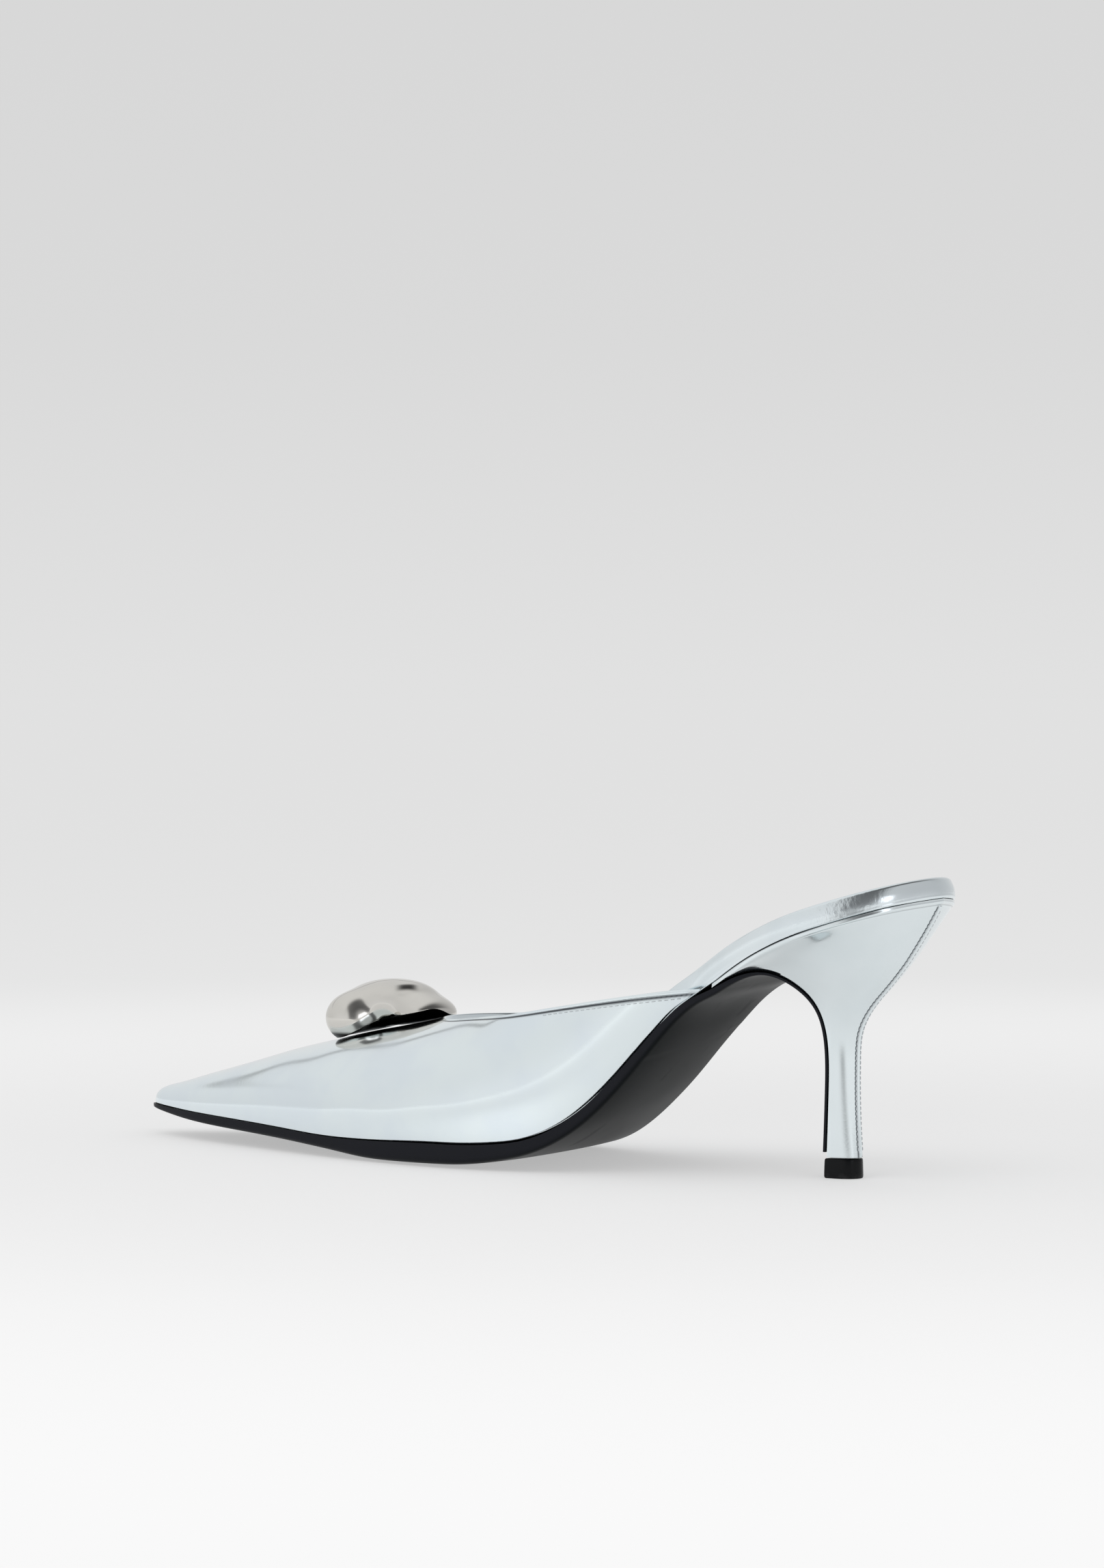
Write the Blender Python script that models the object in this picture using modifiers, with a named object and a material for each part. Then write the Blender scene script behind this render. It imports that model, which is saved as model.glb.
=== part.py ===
"""Kitten heel mule, left shoe, as separate closed solids.

Every form comes from one last. Its bottom is a surface B(x, y) over the floor, its upper side is an
elliptic section at each station, and the sole, footbed, heel and upper are all drawn against it.
The toe points to -X, +Z is up, the outer side of the foot is -Y. Units are metres.
The origin is the middle of the heel cap's underside.
"""

import math

import bmesh
import bpy
import numpy as np

MM = 0.001

# Named sizes

SHOE_LENGTH = 256.3 * MM       # toe tip to the back of the seat, level
BALL_WIDTH = 76.5 * MM         # upper at the sole's edge, across the ball
HEEL_HEIGHT = 73.2 * MM        # floor to the underside of the footbed, at the back
INSTEP_HEIGHT = 44.5 * MM      # last over its own bottom, at its highest section
TOPLINE_HEIGHT = 48.4 * MM     # floor to the collar's edge, where it ends at the waist
WALL = 1.6 * MM                # leather and lining of the upper
TAIL_WALL = 0.9 * MM           # the same, skived at its rear ends
CLEARANCE = 0.3 * MM           # between curved pieces that are glued in the real shoe
SOLE_THICKNESS = 5.4 * MM      # outsole under the ball
FLAP_THICKNESS = 0.8 * MM      # outsole down the breast of the heel
SOLE_LIP = 0.4 * MM            # how far the outsole stands out past the upper
BOARD_THICKNESS = 2.6 * MM     # footbed inside the upper
BAND_THICKNESS = 5.5 * MM      # footbed from the waist to the seat, the band that shows
SEAT_WIDTH = 54.6 * MM         # footbed across the seat
SOCK_THICKNESS = 0.5 * MM
SOCK_INSET = 2.2 * MM          # sock's edge inside the footbed's edge
CAP_HEIGHT = 5.2 * MM
CAP_LENGTH = 8.6 * MM
CAP_WIDTH = 8.8 * MM
COLUMN_WIDTH = 8.8 * MM        # heel at its thinnest, across
TOE_ROUND = 8.0 * MM           # how soon the outline reaches full width behind the tip
NOSE_ROUND = 2.5 * MM          # the same for the height of the toe
SEAT_ROUND = 16.0 * MM         # the same for the outline at the back of the seat
SEAT_RIM = 3.4 * MM            # footbed's rim behind the sock
HEEL_ARC = 14                  # steps from the breast's corner to the back seam
ORNAMENT_LENGTH = 36.5 * MM
ORNAMENT_WIDTH = 24.8 * MM
ORNAMENT_HEIGHT = 15.0 * MM
ORNAMENT_SLOPE = math.radians(11.0)
ORNAMENT_AT = 0.3235           # middle of the ornament, share of the length
ORNAMENT_LIFT = 0.333          # its middle over the vamp, share of its height
ORNAMENT_HOLLOW = 0.18         # how far its near right side lifts off the vamp, share of its height
ORNAMENT_FIRM = 2.6            # how firmly its swellings keep their own shapes

# The cap's middle is the origin, so the toe tip lies this far forward of it.
CAP_BEHIND_TIP = 0.8872 * SHOE_LENGTH
TIP_X = -CAP_BEHIND_TIP
BACK_X = TIP_X + SHOE_LENGTH

# Bottom of the last. at: share of the length from the toe tip. rise: share of the heel height, on the
# centre line. twist: slope across, up towards the inner side. cup: rise of the edges, share of the
# sole's thickness.
BOTTOM_COLUMNS = ("at", "rise", "twist", "cup")
BOTTOM = (
    (0.000, 0.1161, 0.000, 0.02),
    (0.075, 0.1066, 0.000, 0.06),
    (0.168, 0.0963, 0.000, 0.10),
    (0.257, 0.0820, 0.000, 0.14),
    (0.339, 0.0676, 0.000, 0.16),
    (0.416, 0.0690, 0.000, 0.17),
    (0.475, 0.0742, 0.000, 0.16),
    (0.513, 0.0830, 0.008, 0.12),
    (0.556, 0.1120, 0.040, 0.08),
    (0.583, 0.1469, 0.080, 0.06),
    (0.610, 0.1981, 0.120, 0.05),
    (0.634, 0.2570, 0.145, 0.05),
    (0.657, 0.3279, 0.155, 0.05),
    (0.680, 0.4085, 0.150, 0.05),
    (0.700, 0.4809, 0.130, 0.05),
    (0.723, 0.5642, 0.102, 0.05),
    (0.736, 0.6066, 0.088, 0.05),
    (0.754, 0.6503, 0.075, 0.04),
    (0.770, 0.6845, 0.066, 0.04),
    (0.797, 0.7377, 0.048, 0.03),
    (0.820, 0.7787, 0.030, 0.02),
    (0.853, 0.8279, 0.010, 0.01),
    (0.886, 0.8716, 0.000, 0.00),
    (0.913, 0.9044, 0.000, 0.00),
    (0.9375, 0.9331, 0.000, 0.00),
    (0.971, 0.9700, 0.000, 0.00),
    (1.000, 1.0000, 0.000, 0.00),
)

# Upper at the sole's edge and the sections over it. near, far: half widths as shares of the ball
# width, outer and inner side, before the toe is rounded. crest: height of the section over the
# bottom, share of the instep height. swell: how far the sides stand out past the sole's edge.
# full: how square the shoulders of the section are.
LAST_COLUMNS = ("at", "near", "far", "crest", "swell", "full")
LAST = (
    (0.000, 0.082, 0.088, 0.104, 0.025, 0.10),
    (0.036, 0.116, 0.133, 0.143, 0.025, 0.10),
    (0.075, 0.165, 0.196, 0.209, 0.028, 0.09),
    (0.125, 0.225, 0.266, 0.294, 0.030, 0.08),
    (0.170, 0.274, 0.326, 0.373, 0.034, 0.07),
    (0.215, 0.321, 0.379, 0.454, 0.038, 0.06),
    (0.260, 0.367, 0.423, 0.526, 0.042, 0.05),
    (0.300, 0.405, 0.455, 0.591, 0.046, 0.04),
    (0.340, 0.438, 0.476, 0.644, 0.050, 0.03),
    (0.415, 0.490, 0.486, 0.732, 0.054, 0.02),
    (0.475, 0.511, 0.464, 0.822, 0.056, 0.00),
    (0.515, 0.514, 0.434, 0.890, 0.060, 0.00),
    (0.555, 0.501, 0.398, 0.972, 0.066, 0.00),
    (0.610, 0.457, 0.351, 1.000, 0.076, 0.00),
    (0.655, 0.401, 0.320, 0.965, 0.086, 0.00),
    (0.700, 0.353, 0.300, 0.875, 0.096, 0.00),
    (0.735, 0.324, 0.291, 0.755, 0.104, 0.00),
    (0.772, 0.305, 0.289, 0.660, 0.096, 0.00),
)

THROAT_AT = 0.405              # where the collar's edge crosses the crest
TAIL_AT = 0.770                # where the upper's rear ends stop

# Collar's edge behind the throat, share of the topline height. At the throat it meets the crest.
COLLAR_COLUMNS = ("at", "near", "far")
COLLAR = (
    (0.440, 0.772, 0.770),
    (0.475, 0.790, 0.784),
    (0.513, 0.813, 0.804),
    (0.556, 0.840, 0.830),
    (0.610, 0.888, 0.884),
    (0.657, 0.930, 0.938),
    (0.700, 0.965, 0.985),
    (0.736, 0.988, 1.020),
    (0.772, 1.006, 1.045),
)

# Outsole's thickness along the front and waist, share of the thickness under the ball.
SOLE_COLUMNS = ("at", "thick")
SOLE = (
    (0.000, 0.17),
    (0.036, 0.31),
    (0.075, 0.42),
    (0.125, 0.50),
    (0.168, 0.53),
    (0.257, 0.57),
    (0.300, 0.61),
    (0.339, 0.71),
    (0.378, 0.88),
    (0.416, 0.97),
    (0.475, 1.02),
    (0.513, 1.00),
    (0.556, 0.93),
    (0.610, 0.76),
    (0.680, 0.60),
    (0.754, 0.46),
    (0.790, 0.36),
)

# Outsole's side, from its top edge round to its underside. across: share of the half width.
# down: share of the thickness.
SOLE_EDGE_COLUMNS = ("across", "down")
SOLE_EDGE = (
    (1.000, 0.00),
    (1.000, 0.40),
    (0.988, 0.72),
    (0.955, 0.92),
    (0.880, 1.00),
    (0.600, 1.00),
    (0.300, 1.00),
    (0.000, 1.00),
)

# Footbed behind the upper: half widths, share of the seat width, before the back is rounded.
SEAT_COLUMNS = ("at", "near", "far")
SEAT = (
    (0.700, 0.455, 0.378),
    (0.736, 0.410, 0.378),
    (0.770, 0.402, 0.388),
    (0.797, 0.440, 0.428),
    (0.830, 0.484, 0.476),
    (0.870, 0.526, 0.522),
    (0.910, 0.536, 0.534),
    (0.945, 0.520, 0.520),
    (0.975, 0.498, 0.500),
    (1.000, 0.474, 0.474),
)

# Footbed's thickness, share of the way from the board's to the band's.
BAND_COLUMNS = ("at", "share")
BAND = (
    (0.000, 0.00),
    (0.500, 0.00),
    (0.580, 0.12),
    (0.640, 0.45),
    (0.700, 0.85),
    (0.740, 0.97),
    (0.800, 1.00),
    (0.900, 1.00),
    (1.000, 0.96),
)

# Heel, in rings from the seat down. front, front_rise: the breast, where the flap lies on it, share of
# the shoe's length behind the cap's middle and share of the heel height. half: half width there,
# share of the column's width. back, back_rise: the back seam. column: 0 like the seat's outline,
# 1 like the column's. sag: how much of the seat's curve the ring keeps.
HEEL_COLUMNS = ("front", "front_rise", "half", "back", "back_rise", "column", "sag")
HEEL = (
    (-0.1070, 0.6885, 2.50, 0.1098, 0.9845, 0.00, 1.00),
    (-0.0830, 0.7250, 2.40, 0.1077, 0.9690, 0.05, 0.90),
    (-0.0600, 0.7377, 2.03, 0.1019, 0.9340, 0.15, 0.70),
    (-0.0428, 0.7158, 1.68, 0.0884, 0.8550, 0.32, 0.45),
    (-0.0312, 0.6830, 1.39, 0.0695, 0.7650, 0.52, 0.20),
    (-0.0223, 0.6434, 1.12, 0.0504, 0.6870, 0.72, 0.08),
    (-0.0161, 0.5956, 0.89, 0.0334, 0.6230, 0.88, 0.00),
    (-0.0130, 0.5396, 0.71, 0.0208, 0.5600, 0.97, 0.00),
    (-0.0118, 0.4781, 0.60, 0.0143, 0.4930, 1.00, 0.00),
    (-0.0116, 0.3962, 0.54, 0.0130, 0.4040, 1.00, 0.00),
    (-0.0126, 0.3005, 0.51, 0.0130, 0.3005, 1.00, 0.00),
    (-0.0140, 0.1913, 0.49, 0.0141, 0.1913, 1.00, 0.00),
    (-0.0153, 0.0751, 0.49, 0.0163, 0.0751, 1.00, 0.00),
)

# Swellings that melt into one another as the pebble. along, long: middle and half size, shares of the
# ornament's length. across, wide: shares of its width. over, tall: shares of its height. turn: degrees.
SWELL_COLUMNS = ("along", "across", "over", "long", "wide", "tall", "turn")
SWELLS = (
    (-0.016, 0.081, 0.140, 0.353, 0.395, 0.420, 9.0),
    (-0.274, -0.218, -0.160, 0.211, 0.298, 0.453, -20.0),
    (-0.236, 0.145, 0.013, 0.230, 0.302, 0.393, 0.0),
    (0.290, 0.024, -0.047, 0.219, 0.355, 0.307, 0.0),
)

# Soft hollows in it. reach: share of the ornament's length. depth: share of a swelling's fullness.
DENT_COLUMNS = ("along", "across", "over", "reach", "depth")
DENTS = (
    (0.123, -0.524, -0.067, 0.151, 0.50),
    (0.041, -0.081, 0.573, 0.110, 0.20),
    (-0.088, -0.452, 0.227, 0.093, 0.24),
)


def column(columns, rows, name):
    """One named column of a table, as an array."""
    return np.array([row[columns.index(name)] for row in rows], float)


def spline(knots, values):
    """Natural cubic spline through the values, straight past both ends."""
    count = len(knots)
    step = np.diff(knots)
    system = np.eye(count)
    right = np.zeros(count)
    for k in range(1, count - 1):
        system[k, k - 1] = step[k - 1]
        system[k, k] = 2.0 * (step[k - 1] + step[k])
        system[k, k + 1] = step[k]
        right[k] = 6.0 * ((values[k + 1] - values[k]) / step[k] - (values[k] - values[k - 1]) / step[k - 1])
    bend = np.linalg.solve(system, right)

    def at(where):
        where = np.asarray(where, float)
        inside = np.clip(where, knots[0], knots[-1])
        k = np.clip(np.searchsorted(knots, inside) - 1, 0, count - 2)
        left = inside - knots[k]
        rest = knots[k + 1] - inside
        width = step[k]
        value = (bend[k] * rest**3 + bend[k + 1] * left**3) / (6.0 * width)
        value = value + (values[k] / width - bend[k] * width / 6.0) * rest
        value = value + (values[k + 1] / width - bend[k + 1] * width / 6.0) * left
        first = (values[1] - values[0]) / step[0] - step[0] * bend[1] / 6.0
        last = (values[-1] - values[-2]) / step[-1] + step[-1] * bend[-2] / 6.0
        slope = np.where(where < knots[0], first, last)
        return value + slope * (where - inside)

    return at


def curve_of(columns, rows, name):
    """A column as a smooth function of the first column."""
    return spline(column(columns, rows, columns[0]), column(columns, rows, name))


def ease(low, high, value):
    """0 below low, 1 above high, smooth between."""
    t = np.clip((np.asarray(value, float) - low) / (high - low), 0.0, 1.0)
    return t * t * t * (t * (6.0 * t - 15.0) + 10.0)


bottom_rise = curve_of(BOTTOM_COLUMNS, BOTTOM, "rise")
bottom_twist = curve_of(BOTTOM_COLUMNS, BOTTOM, "twist")
bottom_cup = curve_of(BOTTOM_COLUMNS, BOTTOM, "cup")
last_near = curve_of(LAST_COLUMNS, LAST, "near")
last_far = curve_of(LAST_COLUMNS, LAST, "far")
last_crest = curve_of(LAST_COLUMNS, LAST, "crest")
last_swell = curve_of(LAST_COLUMNS, LAST, "swell")
last_full = curve_of(LAST_COLUMNS, LAST, "full")
sole_thick = curve_of(SOLE_COLUMNS, SOLE, "thick")
seat_near = curve_of(SEAT_COLUMNS, SEAT, "near")
seat_far = curve_of(SEAT_COLUMNS, SEAT, "far")
band_share = curve_of(BAND_COLUMNS, BAND, "share")
heel_front = column(HEEL_COLUMNS, HEEL, "front") * SHOE_LENGTH
heel_front_z = column(HEEL_COLUMNS, HEEL, "front_rise") * HEEL_HEIGHT
heel_half = column(HEEL_COLUMNS, HEEL, "half") * COLUMN_WIDTH


def place(at):
    """Station's x, from its share of the length."""
    return TIP_X + at * SHOE_LENGTH


def station(x):
    """A point's share of the length, from its x."""
    return (x - TIP_X) / SHOE_LENGTH


def rounding(distance, radius):
    """0 at an end of the shoe, rising like a circle's arc and soon 1."""
    return np.sqrt(1.0 - np.exp(-np.maximum(distance, 0.0) / radius))


def edge_half(at, side):
    """Half width of the upper where it meets the sole. side is -1 outer, +1 inner."""
    share = last_near(at) if side < 0 else last_far(at)
    return share * BALL_WIDTH * rounding(at * SHOE_LENGTH, TOE_ROUND)


def seat_half(at, side):
    """Half width of the footbed where it shows behind the upper."""
    share = seat_near(at) if side < 0 else seat_far(at)
    return share * SEAT_WIDTH * rounding((1.0 - at) * SHOE_LENGTH, SEAT_ROUND)


def board_half(at, side):
    """Half width of the footbed: inside the upper in front, its own outline at the seat."""
    share = last_near(at) if side < 0 else last_far(at)
    behind_toe = at * SHOE_LENGTH - 2.0 * WALL
    outline = share * BALL_WIDTH * rounding(behind_toe, TOE_ROUND)
    inside = np.maximum(outline - WALL - 1.4 * CLEARANCE, 0.0)
    blend = ease(0.715, 0.785, at)
    return inside * (1.0 - blend) + seat_half(at, side) * blend


def behind_rim(at, rim):
    """1, and falling to 0 at a rim's width from the back of the seat, like the seat's own outline."""
    behind = (1.0 - at) * SHOE_LENGTH
    return rounding(behind - rim, SEAT_ROUND) / rounding(behind, SEAT_ROUND)


def bottom_z(x, y):
    """B(x, y): rise on the centre line, plus twist across, plus cup = k (2y / width)^2."""
    at = station(x)
    across = 2.0 * y / BALL_WIDTH
    return bottom_rise(at) * HEEL_HEIGHT + bottom_twist(at) * y + bottom_cup(at) * SOLE_THICKNESS * across**2


def bottom_slope(x):
    """Angle of the bottom's centre line over the floor."""
    step = 0.2 * MM
    return np.arctan2(bottom_z(x + step, 0.0) - bottom_z(x - step, 0.0), 2.0 * step)


def over_bottom(x, y, height):
    """Point at a height over B, square to its centre line."""
    slope = bottom_slope(x)
    return np.array([x - np.sin(slope) * height, y, bottom_z(x, y) + np.cos(slope) * height])


def wedge(x):
    """How far the outsole's top drops under B to make room for the heel's front edge."""
    return 2.05 * np.maximum(x - place(0.7385), 0.0) ** 2 / SHOE_LENGTH


def foot_z(x, y):
    """Lower edge of what stands on the outsole: its clearance over B, less the wedge."""
    return bottom_z(x, y) + 1.2 * CLEARANCE / np.cos(bottom_slope(x)) - wedge(x)


def crest_height(at):
    """Height of the section's crest over the bottom."""
    return last_crest(at) * INSTEP_HEIGHT * rounding(at * SHOE_LENGTH, NOSE_ROUND)


def section(at, angle):
    """Point of the upper's outer face, in elliptic arcs.

    y = -w cos(a) (1 + q sin(a)^2), z = c + h sin(a). w, c and h go from the outer side's values at
    a = 0 to the inner side's at a = pi as (1 - cos a) / 2, so the crest is smooth.
    """
    x = place(at)
    lean = 1.0 / (1.0 + last_swell(at))
    below = np.sqrt(1.0 - lean**2)
    top = bottom_z(x, 0.0) + CLEARANCE + crest_height(at)
    share = 0.5 * (1.0 - np.cos(angle))
    values = []
    for side in (-1, 1):
        half = edge_half(at, side)
        foot = foot_z(x, side * half)
        tall = (top - foot) / (1.0 + below)
        values.append((half / lean, foot + below * tall, tall))
    near, far = values
    width = near[0] * (1.0 - share) + far[0] * share
    middle = near[1] * (1.0 - share) + far[1] * share
    tall = near[2] * (1.0 - share) + far[2] * share
    y = -width * np.cos(angle) * (1.0 + last_full(at) * np.sin(angle) ** 2)
    return np.array([x, y, middle + tall * np.sin(angle)])


def edge_angle(at):
    """Angle of the sole's edge in the section, under the widest point."""
    return -math.acos(1.0 / (1.0 + float(last_swell(at))))


def collar_height(at, side):
    """Height of the collar's edge over the floor. At the throat it starts from the crest."""
    knots = np.append(THROAT_AT, column(COLLAR_COLUMNS, COLLAR, "at"))
    edge = column(COLLAR_COLUMNS, COLLAR, "near" if side < 0 else "far") * TOPLINE_HEIGHT
    return float(spline(knots, np.append(section(THROAT_AT, math.pi / 2.0)[2], edge))(at))


def collar_angle(at, side):
    """Angle at which the collar's edge cuts the section, by halving the arc."""
    crest = float(section(at, math.pi / 2.0)[2])
    height = collar_height(at, side)
    if at <= THROAT_AT or height >= crest:
        return math.pi / 2.0
    low = edge_angle(at)
    high = math.pi / 2.0
    for _ in range(40):
        middle = 0.5 * (low + high)
        angle = middle if side < 0 else math.pi - middle
        if float(section(at, angle)[2]) < height:
            low = middle
        else:
            high = middle
    return low if side < 0 else math.pi - low


def stations(first, last, count, power_first=1.0, power_last=1.0):
    """Shares from first to last, closer together at an end whose power is over 1."""
    t = np.linspace(0.0, 1.0, count)
    t = t**power_first
    t = 1.0 - (1.0 - t) ** power_last
    return first + (last - first) * t


def new_object(name, mesh, collection):
    """Object with a mesh, linked to the collection."""
    item = bpy.data.objects.new(name, mesh)
    collection.objects.link(item)
    return item


def mesh_from(name, points, faces):
    """Mesh from points and faces, its normals turned outward."""
    mesh = bpy.data.meshes.new(name)
    work = bmesh.new()
    verts = [work.verts.new(tuple(float(c) for c in p)) for p in points]
    for face in faces:
        work.faces.new([verts[k] for k in face])
    bmesh.ops.remove_doubles(work, verts=work.verts, dist=0.00002)
    bmesh.ops.recalc_face_normals(work, faces=work.faces)
    work.to_mesh(mesh)
    work.free()
    return mesh


def loft(name, rings, collection):
    """Closed solid through rings of equal count, with a face at each end."""
    size = len(rings[0])
    points = [p for ring in rings for p in ring]
    faces = []
    for k in range(len(rings) - 1):
        for j in range(size):
            following = (j + 1) % size
            faces.append((k * size + j, k * size + following, (k + 1) * size + following, (k + 1) * size + j))
    faces.append(tuple(range(size)))
    base = (len(rings) - 1) * size
    faces.append(tuple(base + j for j in reversed(range(size))))
    return new_object(name, mesh_from(name, points, faces), collection)


def finish(item, colour, roughness, metallic, smooth_angle=40.0):
    """Material of the piece, and smooth shading with its real edges kept."""
    material = bpy.data.materials.new(item.name)
    material.use_nodes = True
    shader = material.node_tree.nodes["Principled BSDF"]
    shader.inputs["Base Color"].default_value = (*colour, 1.0)
    shader.inputs["Roughness"].default_value = roughness
    shader.inputs["Metallic"].default_value = metallic
    material.diffuse_color = (*colour, 1.0)
    item.data.materials.clear()
    item.data.materials.append(material)
    item.data.shade_smooth()
    item.data.set_sharp_from_angle(angle=math.radians(smooth_angle))
    return item


def build_upper(collection):
    """One shell: a grid over the last, slit along the crest behind the throat, given its wall inward."""
    front = stations(0.0, THROAT_AT, 23, power_first=1.9)
    rear = stations(THROAT_AT, TAIL_AT, 26, power_first=1.7)[1:]
    half_count = 11
    points = []
    index = {}

    def add(key, point):
        index[key] = len(points)
        points.append(point)

    for i, at in enumerate(list(front) + list(rear)):
        low = edge_angle(at)
        for side in (-1, 1):
            high = collar_angle(at, side)
            start = low if side < 0 else math.pi - low
            for j in range(half_count + 1):
                if side > 0 and j == half_count and i < len(front):
                    continue
                angle = start + (high - start) * j / half_count
                add((i, side, j), section(at, angle))
    for i in range(len(front)):
        index[(i, 1, half_count)] = index[(i, -1, half_count)]
    faces = []
    for i in range(len(front) + len(rear) - 1):
        for side in (-1, 1):
            for j in range(half_count):
                corners = [(i, side, j), (i, side, j + 1), (i + 1, side, j + 1), (i + 1, side, j)]
                ring = [index[c] for c in corners]
                faces.append(tuple(ring if side > 0 else reversed(ring)))
    mesh = bpy.data.meshes.new("upper")
    work = bmesh.new()
    verts = [work.verts.new(tuple(float(c) for c in p)) for p in points]
    for face in faces:
        work.faces.new([verts[k] for k in face])
    bmesh.ops.remove_doubles(work, verts=work.verts, dist=0.00002)
    bmesh.ops.recalc_face_normals(work, faces=work.faces)
    upward = sum(face.normal.z * face.calc_area() for face in work.faces)
    if upward < 0.0:
        bmesh.ops.reverse_faces(work, faces=work.faces)
    work.to_mesh(mesh)
    work.free()
    item = new_object("upper", mesh, collection)
    skive = item.vertex_groups.new(name="skive")
    for vert in mesh.vertices:
        thin = ease(0.70, TAIL_AT, station(vert.co.x))
        skive.add([vert.index], float(1.0 - thin * (1.0 - TAIL_WALL / WALL)), "REPLACE")
    wall = item.modifiers.new("wall", "SOLIDIFY")
    wall.thickness = WALL
    wall.offset = -1.0
    wall.use_even_offset = False
    wall.vertex_group = "skive"
    return finish(item, (0.80, 0.84, 0.86), 0.16, 1.0)


def breast_twist(x):
    """Slope across of the outsole's upper face and the heel's breast, the same as the bottom's."""
    return float(bottom_twist(np.minimum(station(x), 0.886)))


def flap_line():
    """Outsole's upper face in side view, from the waist down the breast: x, z and half width."""
    rows = []
    for at in (0.700, 0.715, 0.730, 0.745, 0.760):
        x = place(at)
        half = 0.5 * (edge_half(at, -1) + edge_half(at, 1)) + SOLE_LIP
        rows.append((x, float(bottom_z(x, 0.0)) - float(wedge(x)), float(half)))
    rows = np.array(rows + list(zip(heel_front, heel_front_z, heel_half + SOLE_LIP)))
    run = np.concatenate([[0.0], np.cumsum(np.hypot(np.diff(rows[:, 0]), np.diff(rows[:, 1])))])
    return run, [spline(run, rows[:, k]) for k in range(3)]


def sole_ring(middle, normal, half_near, half_far, thick, lift):
    """Section of the outsole: level on top, its side and underside from the edge table."""
    ring = []
    shares = column(SOLE_EDGE_COLUMNS, SOLE_EDGE, "across")
    drops = column(SOLE_EDGE_COLUMNS, SOLE_EDGE, "down")
    for side, half in ((-1, half_near), (1, half_far)):
        arc = []
        for across, down in zip(shares, drops):
            y = side * half * across
            top = np.array([middle[0], y, middle[1] + lift(y)])
            point = top - np.array([normal[0], 0.0, normal[1]]) * thick * down
            point[2] = max(point[2], 0.0)
            arc.append(point)
        ring.append(arc)
    near, far = ring
    top = [np.array([middle[0], s * h, middle[1] + lift(s * h)])
           for s, h in ((-1, half_near * 0.5), (-1, 0.0), (1, half_far * 0.5))]
    return near[::-1] + top + far[:-1]


def build_outsole(collection):
    """Sole from the toe to the waist, then the flap round the breast to just above the cap."""
    rings = []
    for at in stations(0.0006, 0.700, 46, power_first=1.3):
        x = place(at)
        slope = float(bottom_slope(x))
        toe = rounding(at * SHOE_LENGTH + SOLE_LIP, TOE_ROUND) / rounding(at * SHOE_LENGTH, TOE_ROUND)
        near = float(edge_half(at, -1) * toe) + SOLE_LIP
        far = float(edge_half(at, 1) * toe) + SOLE_LIP
        level = float(bottom_z(x, 0.0))
        rings.append(sole_ring((x, level), (-math.sin(slope), math.cos(slope)), near, far,
                               float(sole_thick(at)) * SOLE_THICKNESS,
                               lambda y, x=x, level=level: float(bottom_z(x, y)) - level))
    run, (line_x, line_z, line_half) = flap_line()
    end = run[-1] - 0.25 * CAP_HEIGHT
    for s in np.linspace(0.0, end, 30)[1:]:
        x, z, half = float(line_x(s)), float(line_z(s)), float(line_half(s))
        step = 0.1 * MM
        tangent = np.array([line_x(s + step) - line_x(s - step), line_z(s + step) - line_z(s - step)])
        tangent = tangent / np.linalg.norm(tangent)
        at = float(station(x))
        fade = 1.0 - float(ease(run[0], run[5], s))
        thick = float(sole_thick(min(at, 0.79))) * SOLE_THICKNESS
        thick = FLAP_THICKNESS + (thick - FLAP_THICKNESS) * (1.0 - float(ease(run[4], run[8], s)))
        skew = 0.5 * float(edge_half(min(at, 0.772), -1) - edge_half(min(at, 0.772), 1)) * fade
        twist = breast_twist(x)
        rings.append(sole_ring((x, z), (-tangent[1], tangent[0]), half + skew, half - skew, thick,
                               lambda y, twist=twist: twist * y))
    return finish(loft("outsole", rings, collection), (0.012, 0.012, 0.013), 0.38, 0.0)


def bed_height(at):
    """Footbed's thickness."""
    return BOARD_THICKNESS + (BAND_THICKNESS - BOARD_THICKNESS) * float(np.clip(band_share(at), 0.0, 1.0))


def bed_stations():
    """Stations that the footbed and its sock share, so that their facets run together."""
    return stations(0.035, 0.99985, 43, power_first=1.1, power_last=1.5)


def build_footbed(collection):
    """Insole board in its leather: thin inside the upper, a round-edged band at the seat.

    A shallow bed for the sock is let into its top, inside a rim.
    """
    rings = []
    for at in bed_stations():
        x = place(at)
        height = bed_height(at)
        slope = float(bottom_slope(x))
        normal = np.array([-math.sin(slope), 0.0, math.cos(slope)])
        bed = float(behind_rim(at, SEAT_RIM))
        floor = height - (SOCK_THICKNESS + CLEARANCE if bed > 0.0 else 0.0)
        inner = max(bed, 0.2)
        profile = ((1.0, 0.22 * height), (1.004, 0.5 * height), (1.0, 0.8 * height), (0.975, height),
                   (0.935 * inner, height), (0.92 * inner, floor), (0.5 * inner, floor), (0.0, floor))
        ring = []
        for side in (-1, 1):
            half = max(float(board_half(at, side)), 0.2 * BOARD_THICKNESS)
            arc = [over_bottom(x, side * half * w, CLEARANCE) for w in (0.0, 0.5, 0.985)]
            for across, up in profile:
                foot = over_bottom(x, side * half * min(across, 1.0), CLEARANCE)
                foot[1] = side * half * across
                arc.append(foot + normal * up)
            ring.append(arc)
        near, far = ring
        rings.append(near[:-1] + far[:0:-1])
    return finish(loft("footbed", rings, collection), (0.74, 0.77, 0.79), 0.22, 1.0)


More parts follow.
